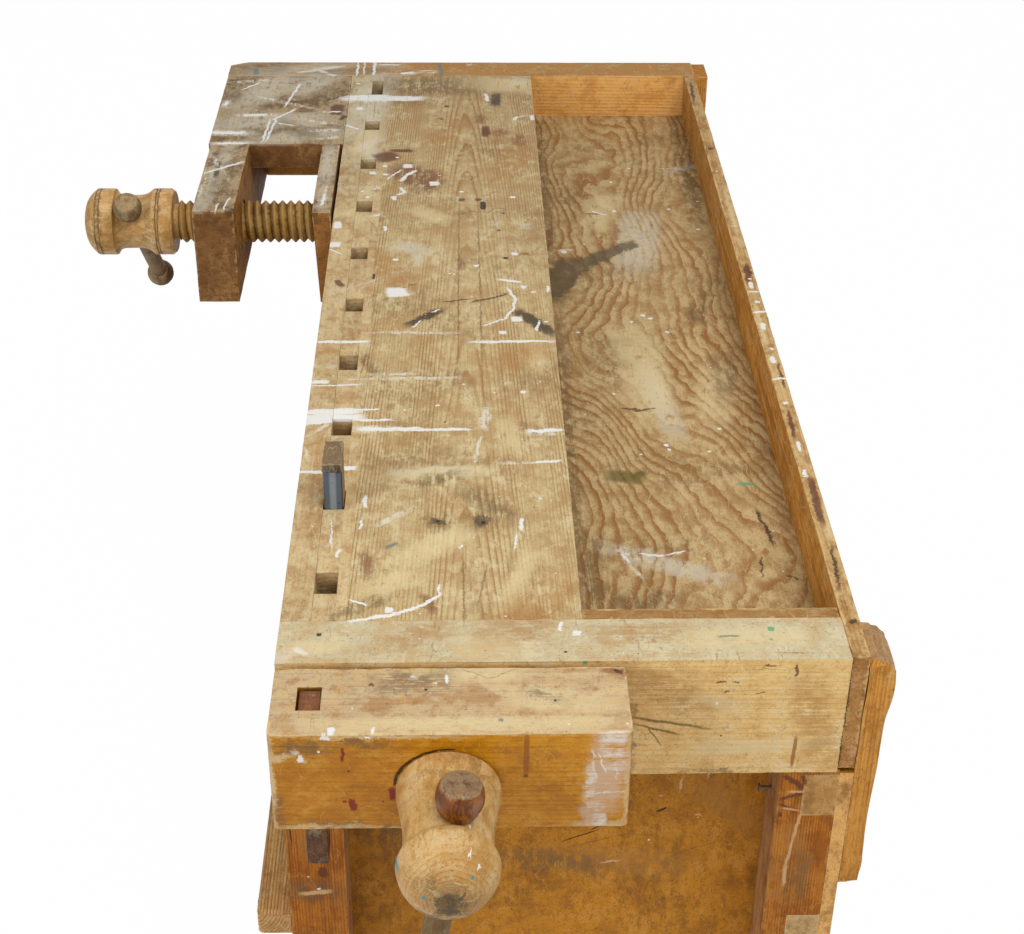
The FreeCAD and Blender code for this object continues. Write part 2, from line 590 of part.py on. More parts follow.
def make_end_vise():
    jaw = block(JAW_START_X, jaw_x1, jaw_face_y, jaw_back_y, jaw_bottom_z, jaw_top_z)
    uprights = [e for e in upright_edges(jaw) if e.Vertexes[0].Y < (jaw_face_y + jaw_back_y) / 2]
    jaw = jaw.makeFillet(JAW_ROUND, uprights)
    key_y = jaw_face_y + END_GROOVE_FROM_FACE
    key_at = Vec(end_screw_x, key_y, end_screw_z)
    key = garter_key(key_at, END_KEY_WIDTH, END_KEY_THICK, END_GROOVE_R + FACE_GAP, jaw_bottom_z, "y")
    key_slot = block(end_screw_x - END_KEY_WIDTH / 2, end_screw_x + END_KEY_WIDTH / 2,
                     key_y, key_y + END_KEY_THICK, jaw_bottom_z, end_screw_z)
    bore = rod(neck_r + RUN_GAP, end_axis_at, Y, JAW_THICK)
    dog_x = JAW_START_X + JAW_DOG_IN_JAW
    dog_y1 = -JAW_DOG_FROM_CAP
    dog_y0 = dog_y1 - JAW_DOG_HOLE_LENGTH
    dog_hole = block(dog_x, dog_x + DOG_HOLE_WIDTH, dog_y0, dog_y1, jaw_bottom_z, jaw_top_z)
    bars = [block(x - GUIDE_BAR_SIZE / 2, x + GUIDE_BAR_SIZE / 2, jaw_back_y - GUIDE_BAR_SOCKET,
                  GUIDE_BAR_TAIL, guide_z0, guide_z1) for x in guide_bar_xs]
    export("end_jaw", [cut_all(jaw, [bore, key_slot, dog_hole] + bars)])
    export("end_guide_bars", bars)
    export("end_garter_key", [key])

    total = END_HUB_LENGTH
    bar_s = END_BAR_FROM_NOSE
    groove_s = total + END_GROOVE_FROM_FACE
    neck_s = groove_s + END_KEY_THICK + END_NECK_BEYOND_KEY
    outline = hub_nose()
    outline += [(END_BALL_FROM_NOSE, END_BALL_R, END_BALL_BOW),
                (bar_s - END_WAIST_BEFORE_BAR, HUB_WAIST_R, END_WAIST_BEFORE_BOW),
                (bar_s + END_WAIST_AFTER_BAR, HUB_WAIST_R),
                (total - END_COLLAR_WIDTH, HUB_COLLAR_R, END_COVE_BOW),
                (total - FACE_GAP - END_COLLAR_EDGE, HUB_COLLAR_R),
                (total - FACE_GAP, HUB_COLLAR_R - END_COLLAR_EDGE), (total - FACE_GAP, neck_r),
                (groove_s - FACE_GAP, neck_r), (groove_s - FACE_GAP, END_GROOVE_R),
                (groove_s + END_KEY_THICK + FACE_GAP, END_GROOVE_R),
                (groove_s + END_KEY_THICK + FACE_GAP, neck_r), (neck_s, neck_r)]
    outline += thread_steps(neck_s, total - jaw_face_y + END_SCREW_TAIL)
    tail_s = outline[-1][0]
    outline += [(tail_s + END_SCREW_LEAD, root_r - END_SCREW_LEAD), (tail_s + END_SCREW_LEAD, 0)]
    screw = turned(outline, end_axis_at - Y * total, Y)
    tilt = math.radians(END_HANDLE_TILT)
    along = Vec(math.sin(tilt), 0, math.cos(tilt))
    bar_at = Vec(end_screw_x + END_BAR_OFF_AXIS, end_bar_y, end_screw_z)
    bar_hole = rod(END_HANDLE_BAR_R + FACE_GAP, bar_at - along * HUB_COLLAR_R, along, 2 * HUB_COLLAR_R)
    export("end_screw", [screw.cut(bar_hole)])
    make_handle("end", END_HANDLE_BAR_R, END_HANDLE_KNOB_R, bar_at, along, HUB_WAIST_R)

    guides = [block(x - GUIDE_BLOCK_WIDTH / 2, x + GUIDE_BLOCK_WIDTH / 2, near_inner,
                    near_inner + GUIDE_BLOCK_LENGTH, guide_z0 - GUIDE_BLOCK_FLOOR, -SLAB_THICK)
              for x in guide_bar_xs]
    export("end_guide_blocks", [cut_all(guide, guide_mortises) for guide in guides])

    peg_x = dog_x + DOG_HOLE_WIDTH - FACE_GAP - DOG_WIDTH
    peg_y0 = dog_y1 - FACE_GAP - DOG_SHANK_LENGTH
    peg_top = jaw_top_z - JAW_DOG_DROP
    peg = block(peg_x, peg_x + DOG_WIDTH, peg_y0, peg_y0 + DOG_SHANK_LENGTH, peg_top - DOG_TOTAL, peg_top)
    export("jaw_dog", [peg])


# ---------------------------------------------------------------- shoulder vise
def make_shoulder_vise():
    arm = block(arm_x0, arm_x1, arm_y0, board_y0, arm_under_z, 0)
    arm = arm.fuse(block(arm_x0, arm_x1, arm_y0, far_inner, arm_under_z, board_under_z)).removeSplitter()
    screw_hole = rod(SCREW_CREST_R + LOOSE_GAP, Vec(arm_x0, shoulder_y, SHOULDER_SCREW_Z), X, ARM_THICK)
    nut_sink = rod(NUT_SINK_R, Vec(arm_x0, rod_y, rod_z), X, NUT_SINK)
    export("shoulder_arm", [cut_all(arm, [screw_hole, rod_hole, nut_sink])])
    export("shoulder_board", [block(horn_x, 0, board_y0, far_inner, board_under_z, 0)])
    export("shoulder_rail", [block(arm_x1, 0, rail_y0, far_inner, arm_under_z, board_under_z)])

    export("tie_rod", [rod(ROD_R, Vec(rod_start, rod_y, rod_z), X, rod_end - rod_start)])
    nuts = []
    washers = []
    for face_x, way in ((nut_seat_x, -1), (slab_x0, 1)):
        out = X * way
        washer_at = Vec(face_x, rod_y, rod_z)
        nut_at = washer_at + out * WASHER_THICK
        hole = rod(ROD_R + PIN_GAP, washer_at, out, WASHER_THICK + NUT_THICK)
        washers.append(rod(WASHER_R, washer_at, out, WASHER_THICK).cut(hole))
        nuts.append(hexagon(NUT_FLATS, NUT_THICK, nut_at, out).cut(hole))
    export("tie_rod_nuts", nuts)
    export("tie_rod_washers", washers)

    jaw = block(shoulder_jaw_x0, shoulder_jaw_x1, shoulder_jaw_y0, shoulder_jaw_y1, -SHOULDER_JAW_DEPTH, 0)
    corner = Vec(shoulder_jaw_x0, shoulder_jaw_y0, 0)
    foot = corner - Z * SHOULDER_JAW_DEPTH
    wedge = Part.Face(Part.makePolygon([corner, foot, foot + X * SHOULDER_JAW_TAPER, corner]))
    off_cut = wedge.extrude(Y * SHOULDER_JAW_LENGTH)
    tenon_end = shoulder_jaw_x1 - shoulder_seat_x - SHOULDER_TENON_WALL
    seat_at = Vec(shoulder_seat_x, shoulder_y, SHOULDER_SCREW_Z)
    seat = rod(root_r + LOOSE_GAP, seat_at, -X, SHOULDER_JAW_TAPER)
    socket = rod(SHOULDER_TENON_R + RUN_GAP, seat_at, X, tenon_end)
    key_at = seat_at + X * SHOULDER_GROOVE_FROM_SEAT
    key = garter_key(key_at, SHOULDER_KEY_WIDTH, SHOULDER_KEY_THICK, SHOULDER_GROOVE_R + FACE_GAP,
                     -SHOULDER_JAW_DEPTH, "x")
    key_slot = block(key_at.x, key_at.x + SHOULDER_KEY_THICK, shoulder_y - SHOULDER_KEY_WIDTH / 2,
                     shoulder_y + SHOULDER_KEY_WIDTH / 2, -SHOULDER_JAW_DEPTH, SHOULDER_SCREW_Z)
    export("shoulder_jaw", [cut_all(jaw, [off_cut, seat, socket, key_slot])])
    export("shoulder_garter_key", [key])

    total = SHOULDER_HUB_LENGTH
    bar_s = SHOULDER_BAR_ON_HUB
    first_groove, second_groove = [ring_groove(s) for s in SHOULDER_NOSE_GROOVES]
    third_groove, fourth_groove = [ring_groove(total - s) for s in SHOULDER_COLLAR_GROOVES]
    outline = hub_nose()
    outline += [(SHOULDER_NOSE_LENGTH, HUB_COLLAR_R, SHOULDER_NOSE_BOW)] + first_groove[1:] + second_groove
    outline += [(SHOULDER_NOSE_BAND, HUB_COLLAR_R),
                (bar_s - SHOULDER_WAIST_HALF, HUB_WAIST_R, SHOULDER_WAIST_BOW),
                (bar_s + SHOULDER_WAIST_HALF, HUB_WAIST_R),
                (total - SHOULDER_COLLAR_WIDTH, HUB_COLLAR_R, SHOULDER_COVE_BOW)]
    outline += third_groove + fourth_groove
    outline += [(total, HUB_COLLAR_R), (total + SHOULDER_HUB_CHAMFER, HUB_COLLAR_R - SHOULDER_HUB_CHAMFER)]
    thread_s0 = total + SHOULDER_HUB_CHAMFER
    seat_s = shoulder_seat_x - shoulder_hub_x0
    tail = thread_steps(thread_s0, shoulder_jaw_x0 - shoulder_hub_x0 - FACE_GAP)
    groove_s = seat_s + SHOULDER_GROOVE_FROM_SEAT
    end_s = seat_s + tenon_end - FACE_GAP
    outline += tail + [(seat_s - FACE_GAP, root_r), (seat_s - FACE_GAP, SHOULDER_TENON_R),
                       (groove_s - FACE_GAP, SHOULDER_TENON_R), (groove_s - FACE_GAP, SHOULDER_GROOVE_R),
                       (groove_s + SHOULDER_KEY_THICK + FACE_GAP, SHOULDER_GROOVE_R),
                       (groove_s + SHOULDER_KEY_THICK + FACE_GAP, SHOULDER_TENON_R),
                       (end_s, SHOULDER_TENON_R), (end_s, 0)]
    screw = turned(outline, Vec(shoulder_hub_x0, shoulder_y, SHOULDER_SCREW_Z), X)
    tilt = math.radians(SHOULDER_HANDLE_TILT)
    along = Vec(0, -math.sin(tilt), math.cos(tilt))
    bar_at = Vec(shoulder_bar_x, shoulder_y, SHOULDER_SCREW_Z)
    bar_hole = rod(SHOULDER_HANDLE_BAR_R + FACE_GAP, bar_at - along * HUB_COLLAR_R, along, 2 * HUB_COLLAR_R)
    export("shoulder_screw", [screw.cut(bar_hole)])
    make_handle("shoulder", SHOULDER_HANDLE_BAR_R, SHOULDER_HANDLE_KNOB_R, bar_at, along, HUB_WAIST_R)


# ---------------------------------------------------------------- bench dog in the top
def make_top_dog():
    hole_y0, hole_y1 = dog_spans[1]
    x0 = dog_x0 + (DOG_HOLE_WIDTH - DOG_WIDTH) / 2
    x1 = x0 + DOG_WIDTH
    shank_y0 = hole_y1 - FACE_GAP - DOG_SHANK_LENGTH
    head_y0 = shank_y0 - DOG_HEAD_TOE
    neck_z = DOG_RISE - DOG_HEAD_THICK
    shank = block(x0, x1, shank_y0, shank_y0 + DOG_SHANK_LENGTH, DOG_RISE - DOG_TOTAL, neck_z)
    head = block(x0, x1, head_y0, head_y0 + DOG_HEAD_LENGTH, neck_z, DOG_RISE)
    export("top_dog", [shank.fuse(head).removeSplitter()])

    mid_x = (x0 + x1) / 2
    leaf_x0 = mid_x - SPRING_WIDTH / 2
    z_top = neck_z - SPRING_TOP_GAP
    z_foot = -SPRING_BELOW
    z_mid = (z_top + z_foot) / 2
    bow = shank_y0 - SPRING_THICK - hole_y0 - FACE_GAP
    inner_y = shank_y0 - bow
    outer_y = shank_y0 - SPRING_THICK
    inner = Part.Arc(Vec(leaf_x0, shank_y0, z_foot), Vec(leaf_x0, inner_y, z_mid),
                     Vec(leaf_x0, shank_y0, z_top)).toShape()
    outer = Part.Arc(Vec(leaf_x0, outer_y, z_top), Vec(leaf_x0, inner_y - SPRING_THICK, z_mid),
                     Vec(leaf_x0, outer_y, z_foot)).toShape()
    edges = [inner, Part.makeLine(Vec(leaf_x0, shank_y0, z_top), Vec(leaf_x0, outer_y, z_top)),
             outer, Part.makeLine(Vec(leaf_x0, outer_y, z_foot), Vec(leaf_x0, shank_y0, z_foot))]
    leaf = Part.Face(Part.Wire(edges)).extrude(Vec(SPRING_WIDTH, 0, 0))
    export("top_dog_spring", [leaf])


# ---------------------------------------------------------------- base
def make_base():
    rear_rails = [block(rear_rail_x0, rear_leg_x1, 0, TOP_LENGTH, z0, z1)
                  for z0, z1 in ((top_rail_z0, top_rail_z1), (mid_rail_z0, mid_rail_z1),
                                 (low_rail_z0, low_rail_z1))]
    front_rails = [block(front_leg_x0, front_rail_x1, 0, TOP_LENGTH, z0, z1)
                   for z0, z1 in ((top_rail_z0, top_rail_z1), (low_rail_z0, low_rail_z1))]
    ledge = block(front_leg_x0 - LEDGE_WIDTH, front_leg_x0, 0, TOP_LENGTH,
                  -LEDGE_TOP - LEDGE_THICK, -LEDGE_TOP)
    corners = [e for e in upright_edges(ledge) if e.Vertexes[0].X < front_leg_x0 - LEDGE_WIDTH / 2]
    ledge = ledge.makeFillet(LEDGE_ROUND, corners)
    ledge_at = [Vec(front_leg_x0 - LEDGE_WIDTH, y, -LEDGE_TOP - LEDGE_THICK / 2)
                for y in (LEG_Y / 2, TOP_LENGTH - LEG_Y / 2)]
    ledge_holes = [wood_screw_hole(p, X, LEDGE_SCREW_LENGTH) for p in ledge_at]

    panel_ys = [END_PANEL_RECESS, TOP_LENGTH - END_PANEL_RECESS - END_PANEL_THICK]
    panels = [block(front_leg_x1 - END_PANEL_GROOVE, rear_leg_x0 + END_PANEL_GROOVE, y,
                    y + END_PANEL_THICK, low_rail_z0, leg_top_z) for y in panel_ys]
    rail_ys = [END_RAIL_SETBACK, TOP_LENGTH - END_RAIL_SETBACK - END_RAIL_THICK]
    end_rails = [tenoned_rail(front_leg_x1, rear_leg_x0, y, y + END_RAIL_THICK, low_rail_z0, low_rail_z1)
                 for y in rail_ys]
    nail_at = Vec(rear_leg_x0, NAIL_Y, leg_top_z - NAIL_BELOW_LEG_TOP)
    nail_hole = rod(NAIL_R + PIN_GAP, nail_at, X, NAIL_IN + PIN_GAP)
    panel_at = []
    for z0, z1 in ((top_rail_z0, top_rail_z1), (mid_rail_z0, mid_rail_z1)):
        for i in range(PANEL_SCREW_COUNT):
            step = (TOP_LENGTH - 2 * LEG_Y) / (PANEL_SCREW_COUNT - 1)
            panel_at.append(Vec(TOP_WIDTH, LEG_Y + i * step, (z0 + z1) / 2))
    panel_holes = [wood_screw_hole(p, -X, PANEL_SCREW_LENGTH) for p in panel_at]

    cuts = rear_rails + front_rails + panels + end_rails + dowel_holes + ledge_holes + [nail_hole]
    for depth_name, y0, y1 in (("near", 0, LEG_Y), ("far", far_leg_y0, TOP_LENGTH)):
        front = block(front_leg_x0, front_leg_x1, y0, y1, floor_z, leg_top_z)
        rear = block(rear_leg_x0, rear_leg_x1, y0, y1, floor_z, leg_top_z)
        export("front_" + depth_name + "_leg", [cut_all(front, cuts)])
        export("rear_" + depth_name + "_leg", [cut_all(rear, cuts)])
    for name, rail in zip(("rear_top_rail", "rear_mid_rail", "rear_bottom_rail"), rear_rails):
        export(name, [cut_all(rail, panel_holes)])
    for name, rail in zip(("front_top_rail", "front_bottom_rail"), front_rails):
        export(name, [rail])
    export("front_ledge", [cut_all(ledge, ledge_holes)])
    export("ledge_screws", [wood_screw(p, X, LEDGE_SCREW_LENGTH) for p in ledge_at])
    for name, panel in zip(("near_end_panel", "far_end_panel"), panels):
        export(name, [panel])
    for name, rail in zip(("near_bottom_rail", "far_bottom_rail"), end_rails):
        export(name, [rail])

    panel_top = -max(REAR_BOARD_DEPTH, CAP_DEPTH) - BACK_PANEL_DROP
    back = block(rear_leg_x1, TOP_WIDTH, 0, TOP_LENGTH, low_rail_z0, panel_top)
    export("back_panel", [cut_all(back, panel_holes)])
    export("back_panel_screws", [wood_screw(p, -X, PANEL_SCREW_LENGTH) for p in panel_at])
    shelf = block(front_leg_x0, rear_leg_x1, LEG_Y, far_leg_y0, low_rail_z1, low_rail_z1 + SHELF_THICK)
    export("bottom_shelf", [shelf])
    dowels = [rod(DOWEL_R, Vec(x, y, leg_top_z - DOWEL_REACH), Z, 2 * DOWEL_REACH)
              for x in dowel_xs for y in dowel_ys]
    export("leg_dowels", dowels)
    nail = rod(NAIL_R, nail_at - X * NAIL_OUT, X, NAIL_OUT + NAIL_IN)
    nail_head = rod(NAIL_HEAD_R, nail_at - X * (NAIL_OUT + NAIL_HEAD_H), X, NAIL_HEAD_H)
    export("leg_nail", [nail.fuse(nail_head)])


def cleat_spans():
    """The two rear cleats along Y."""
    return [(0, CLEAT_WIDTH), (TOP_LENGTH - CLEAT_WIDTH, TOP_LENGTH)]


def cleat_screw_at():
    """Head places of the cleat screws on the cleats' outer faces."""
    return [Vec(cleat_x1, (y0 + y1) / 2, -REAR_BOARD_DEPTH * share)
            for y0, y1 in cleat_spans() for share in CLEAT_SCREW_SHARES]


def make_cleats():
    places = cleat_screw_at()
    holes = [wood_screw_hole(p, -X, CLEAT_SCREW_LENGTH) for p in places]
    for name, (y0, y1) in zip(("near_rear_cleat", "far_rear_cleat"), cleat_spans()):
        cleat = block(TOP_WIDTH, cleat_x1, y0, y1, -CLEAT_BOTTOM, -CLEAT_TOP)
        export(name, [cut_all(cleat, holes)])
    export("cleat_screws", [wood_screw(p, -X, CLEAT_SCREW_LENGTH) for p in places])


os.makedirs("parts", exist_ok=True)
make_top()
make_tray()
make_end_vise()
make_shoulder_vise()
make_top_dog()
make_base()
make_cleats()
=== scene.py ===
"""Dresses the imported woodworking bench: worn boards, turned vise screws, paint, stains and dents."""

import logging
import math
from dataclasses import dataclass
from enum import Enum
from functools import partial
from typing import Callable, Optional, Sequence, Union

import bpy
from mathutils import Matrix, Vector


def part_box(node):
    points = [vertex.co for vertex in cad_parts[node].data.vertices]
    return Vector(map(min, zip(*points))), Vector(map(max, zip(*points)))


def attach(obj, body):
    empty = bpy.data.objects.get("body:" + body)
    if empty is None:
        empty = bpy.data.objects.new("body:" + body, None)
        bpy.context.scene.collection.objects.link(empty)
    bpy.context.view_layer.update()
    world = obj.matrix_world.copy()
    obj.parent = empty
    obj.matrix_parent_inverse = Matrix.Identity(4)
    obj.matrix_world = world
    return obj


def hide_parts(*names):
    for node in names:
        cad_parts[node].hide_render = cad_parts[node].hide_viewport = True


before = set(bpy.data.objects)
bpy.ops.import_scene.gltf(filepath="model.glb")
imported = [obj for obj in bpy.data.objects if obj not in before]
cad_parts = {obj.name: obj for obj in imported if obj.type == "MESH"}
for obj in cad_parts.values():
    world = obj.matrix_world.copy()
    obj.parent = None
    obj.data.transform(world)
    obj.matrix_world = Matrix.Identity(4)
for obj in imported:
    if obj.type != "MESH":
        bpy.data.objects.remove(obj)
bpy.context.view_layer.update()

log = logging.getLogger("bench")

MM = 0.001
# Points nearer to each other than this are welded.
WELD = 0.01 * MM
Colour = tuple[float, float, float]

# The front near corner of the work surface, from which marks are placed.
ORIGIN = Vector((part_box("front_strip")[0][0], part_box("front_near_leg")[0][1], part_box("top_slab")[1][2]))


def tone(red: int, green: int, blue: int) -> Colour:
    """A display colour from 0 to 255 as the linear light that shaders use.

    Args:
        red: red share, 0 to 255.
        green: green share, 0 to 255.
        blue: blue share, 0 to 255.

    Returns:
        The three linear channels.
    """
    channels = [value / 255 for value in (red, green, blue)]
    return tuple(c / 12.92 if c <= 0.04045 else ((c + 0.055) / 1.055) ** 2.4 for c in channels)


# ---------------------------------------------------------------- shader arithmetic
class Sock:
    """An output of a shader node, on which plain arithmetic adds the nodes that it needs."""

    def __init__(self, graph: "Graph", socket: bpy.types.NodeSocket) -> None:
        """Wraps one output socket of a graph."""
        self.graph = graph
        self.socket = socket

    def _math(self, operation: str, *values: "Value") -> "Sock":
        """Adds a Math node, or a Vector Math node where a value is a vector.

        Args:
            operation: what the node works out.
            values: what it works on.

        Returns:
            The result.
        """
        vectors = [v for v in values if isinstance(v, (tuple, Vector)) or
                   isinstance(v, Sock) and v.socket.type != "VALUE"]
        kind = "ShaderNodeVectorMath" if vectors else "ShaderNodeMath"
        return self.graph.node(kind, {"operation": operation}, dict(enumerate(values)))

    def __add__(self, other: "Value") -> "Sock":
        """Sum."""
        return self._math("ADD", self, other)

    def __sub__(self, other: "Value") -> "Sock":
        """Difference."""
        return self._math("SUBTRACT", self, other)

    def __rsub__(self, other: "Value") -> "Sock":
        """Difference from a plain value."""
        return self._math("SUBTRACT", other, self)

    def __mul__(self, other: "Value") -> "Sock":
        """Product."""
        return self._math("MULTIPLY", self, other)

    def least(self, other: "Value") -> "Sock":
        """The smaller of two values."""
        return self._math("MINIMUM", self, other)

    def most(self, other: "Value") -> "Sock":
        """The larger of two values."""
        return self._math("MAXIMUM", self, other)

    def fraction(self) -> "Sock":
        """The part after the decimal point."""
        return self._math("FRACT", self)

    def size(self) -> "Sock":
        """Absolute value."""
        return self._math("ABSOLUTE", self)

    def root(self) -> "Sock":
        """Square root."""
        return self._math("SQRT", self)

    def rise(self, low: float, high: float) -> "Sock":
        """A smooth step from 0 at low to 1 at high; it falls where low is above high."""
        ends = {"Value": self, "From Min": low, "From Max": high}
        return self.graph.node("ShaderNodeMapRange", {"interpolation_type": "SMOOTHSTEP"}, ends)


Value = Union[Sock, float, tuple, Vector]


@dataclass(frozen=True)
class Cloud:
    """A pattern of noise: how fine it is, per metre, its detail and how strong the detail is."""

    scale: float
    detail: float = 2.0
    rough: float = 0.55


class Graph:
    """The node tree of one material, with one method that makes every node."""

    def __init__(self, name: str) -> None:
        """Makes an empty material.

        Args:
            name: the material's name.
        """
        self.material = bpy.data.materials.new(name)
        self.material.use_nodes = True
        self.tree = self.material.node_tree
        self.tree.nodes.clear()

    def node(self, kind: str, settings: dict, inputs: dict, out: Union[int, str, None] = 0) -> Optional[Sock]:
        """Adds a node.

        Args:
            kind: the node's type.
            settings: its attributes.
            inputs: values or links by the socket's name or number.
            out: the output to return, by name or number, or None for a node with none.

        Returns:
            The chosen output.
        """
        made = self.tree.nodes.new(kind)
        for key, value in settings.items():
            setattr(made, key, value)
        for key, value in inputs.items():
            socket = made.inputs[key]
            if isinstance(value, Sock):
                self.tree.links.new(value.socket, socket)
            elif isinstance(value, (int, float)) and socket.type == "VECTOR":
                socket.default_value = (value, value, value)
            elif socket.type == "RGBA":
                socket.default_value = (*value[:3], 1.0)
            else:
                socket.default_value = value
        return None if out is None else Sock(self, made.outputs[out])

    def place(self) -> Sock:
        """The point being shaded, in the frame of the bench at rest."""
        return self.node("ShaderNodeTexCoord", {}, {}, "Object")

    def facing(self) -> Sock:
        """The surface's normal in the frame of the bench at rest."""
        return self.node("ShaderNodeTexCoord", {}, {}, "Normal")

    def parts(self, vector: Sock) -> list[Sock]:
        """The X, Y and Z of a vector."""
        split = self.node("ShaderNodeSeparateXYZ", {}, {0: vector}).socket.node
        return [Sock(self, socket) for socket in split.outputs]

    def join(self, x: Value, y: Value, z: Value = 0.0) -> Sock:
        """A vector from three values."""
        return self.node("ShaderNodeCombineXYZ", {}, {0: x, 1: y, 2: z})

    def times_plus(self, first: Value, second: Value, third: Value) -> Sock:
        """The product of two vectors plus a third."""
        values = {0: first, 1: second, 2: third}
        return self.node("ShaderNodeVectorMath", {"operation": "MULTIPLY_ADD"}, values)

    def length(self, vector: Sock) -> Sock:
        """Length of a vector."""
        return self.node("ShaderNodeVectorMath", {"operation": "LENGTH"}, {0: vector}, "Value")

    def noise(self, vector: Sock, cloud: "Cloud", out: str = "Fac") -> Sock:
        """Cloudy noise about 0.5, by default a value and otherwise a colour."""
        inputs = {"Vector": vector, "Scale": cloud.scale, "Detail": cloud.detail, "Roughness": cloud.rough}
        return self.node("ShaderNodeTexNoise", {"noise_dimensions": "3D"}, inputs, out)

    def spots(self, vector: Sock, scale: float) -> list[Sock]:
        """Finds the nearest of many scattered points.

        Args:
            vector: the place on a flat side.
            scale: how many points there are to a metre.

        Returns:
            The distance to it, and a chance between 0 and 1 that is its own.
        """
        settings = {"voronoi_dimensions": "2D", "feature": "F1"}
        made = self.node("ShaderNodeTexVoronoi", settings, {"Vector": vector, "Scale": scale}, "Distance")
        return [made, self.parts(Sock(self, made.socket.node.outputs["Color"]))[0]]

    def wander(self, vector: Sock, cloud: "Cloud") -> Sock:
        """A vector of noise between about minus and plus a half."""
        return self.noise(vector, cloud, "Color") - (0.5, 0.5, 0.5)

    def blend(self, share: Value, first: Value, second: Value, mode: str = "MIX") -> Sock:
        """Two colours mixed by a share."""
        settings = {"data_type": "RGBA", "blend_type": mode, "clamp_factor": True}
        return self.node("ShaderNodeMix", settings, {0: share, 6: first, 7: second}, 2)

    def whitened(self, share: float, shader: Sock) -> Sock:
        """Makes a shader look white to the camera and in mirrors, and leaves it as it is for other light.

        Args:
            share: how white it looks, from 0 to 1.
            shader: the shader.

        Returns:
            The mixed shader.
        """
        path = self.node("ShaderNodeLightPath", {}, {}).socket.node.outputs
        seen = Sock(self, path["Is Camera Ray"]).most(Sock(self, path["Is Glossy Ray"]))
        glow = self.node("ShaderNodeEmission", {}, {"Color": (1.0, 1.0, 1.0), "Strength": 1.0})
        return self.node("ShaderNodeMixShader", {}, {0: seen * share, 1: shader, 2: glow})


# ---------------------------------------------------------------- timber and what lies on it
class Axis(Enum):
    """The way a board's fibres run; the value orders its axes as across, across, along."""

    X = (1, 2, 0)
    Y = (0, 2, 1)
    Z = (0, 1, 2)


@dataclass(frozen=True)
class Box:
    """An upright box in the bench's frame."""

    low: Vector
    high: Vector

    @staticmethod
    def of(*nodes: str) -> "Box":
        """Finds the box round some CAD nodes.

        Args:
            nodes: the nodes' names.

        Returns:
            The box.
        """
        corners = [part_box(node) for node in nodes]
        low = Vector([min(c[0][i] for c in corners) for i in range(3)])
        high = Vector([max(c[1][i] for c in corners) for i in range(3)])
        return Box(low, high)

    @property
    def middle(self) -> Vector:
        """Its centre."""
        return (self.low + self.high) / 2


@dataclass(frozen=True)
class Pigment:
    """Something that lies on the wood: paint, a stain, or bare worn wood; lengths are in millimetres."""

    colour: Colour
    cover: float = 0.95
    ragged: float = 3.0
    soft: float = 0.3
    dry: float = 0.0
    brushed: float = 0.0
    rough: float = 0.6
    thick: float = 0.0


class Mark(Enum):
    """The kinds of mark that the bench carries, in the order in which they were left."""

    HAZE = Pigment(tone(206, 200, 180), cover=0.62, dry=0.46, ragged=16.0, soft=1.1, brushed=0.4)
    PALE = Pigment(tone(218, 198, 150), cover=0.62, dry=0.44, ragged=10.0, soft=1.0, brushed=0.3)
    AMBER = Pigment(tone(168, 118, 58), cover=0.5, dry=0.46, ragged=18.0, soft=1.0)
    # Smoke stains; the same brown also paints shade, as along the tray's wall under the slab's edge.
    SMOKE = Pigment(tone(102, 82, 54), cover=0.62, dry=0.47, ragged=20.0, soft=1.1)
    BRUISE = Pigment(tone(128, 82, 54), cover=0.7, dry=0.44, ragged=14.0, soft=0.9)
    DARK = Pigment(tone(56, 42, 34), cover=0.85, dry=0.4, ragged=10.0, soft=0.7, rough=0.5)
    SOOT = Pigment(tone(88, 74, 50), cover=0.8, dry=0.36, ragged=22.0, soft=0.35, rough=0.5)
    RUST = Pigment(tone(92, 46, 32), cover=0.8, ragged=7.0, soft=0.5)
    LINE = Pigment(tone(112, 78, 42), cover=0.6, dry=0.42, ragged=5.0, soft=0.9)
    # Cracks; on the jaw the same dark line also paints the shadow gap round the end screw's collar.
    CRACK_AND_SHADOW_GAP = Pigment(tone(40, 28, 18), cover=0.9, ragged=1.6, soft=0.6, thick=-0.5)
    BLACK = Pigment(tone(40, 38, 42), cover=0.9, ragged=1.6, soft=0.4)
    BLUE = Pigment(tone(96, 124, 124), cover=0.75, ragged=3.0, soft=0.5, brushed=0.3)
    GREEN = Pigment(tone(82, 160, 122), cover=0.85, ragged=1.8, soft=0.4)
    CYAN = Pigment(tone(40, 140, 165), cover=0.9, ragged=1.0, soft=0.4)
    OLIVE = Pigment(tone(88, 78, 20), cover=0.75, ragged=4.0, soft=0.8)
    BLOOD = Pigment(tone(120, 14, 4), cover=0.92, ragged=6.0, soft=0.5, rough=0.25)
    DRIP = Pigment(tone(146, 78, 6), cover=0.8, ragged=1.2, soft=0.5, rough=0.22, thick=0.2)
    MILK = Pigment(tone(214, 198, 176), cover=0.6, dry=0.42, ragged=6.0, soft=0.8, brushed=0.4)
    TAN = Pigment(tone(206, 164, 116), cover=0.85, ragged=3.5, soft=0.7)
    PINK = Pigment(tone(206, 176, 150), cover=0.72, dry=0.42, ragged=16.0, soft=0.7, brushed=0.3)
    DRY_WHITE = Pigment(tone(224, 220, 204), cover=0.72, dry=0.5, ragged=7.0, soft=0.7, brushed=0.7)
    WHITE = Pigment(tone(228, 226, 220), cover=0.95, dry=0.38, ragged=6.5, soft=0.4, brushed=0.7, thick=0.15)


class Spatter(Enum):
    """Drops on a side: how many points there are to a metre, the share that are drops, and their paint."""

    WHITE = (34.0, 0.7, Mark.WHITE)
    RUST = (52.0, 0.5, Mark.RUST)


# The noise that makes the outlines of marks ragged, and how brush hairs draw it out along the first axis.
SLOW, FAST = Cloud(70.0, 1.0), Cloud(420.0)
BRUSHED_ALONG = (0.09, 1.0, 1.0)
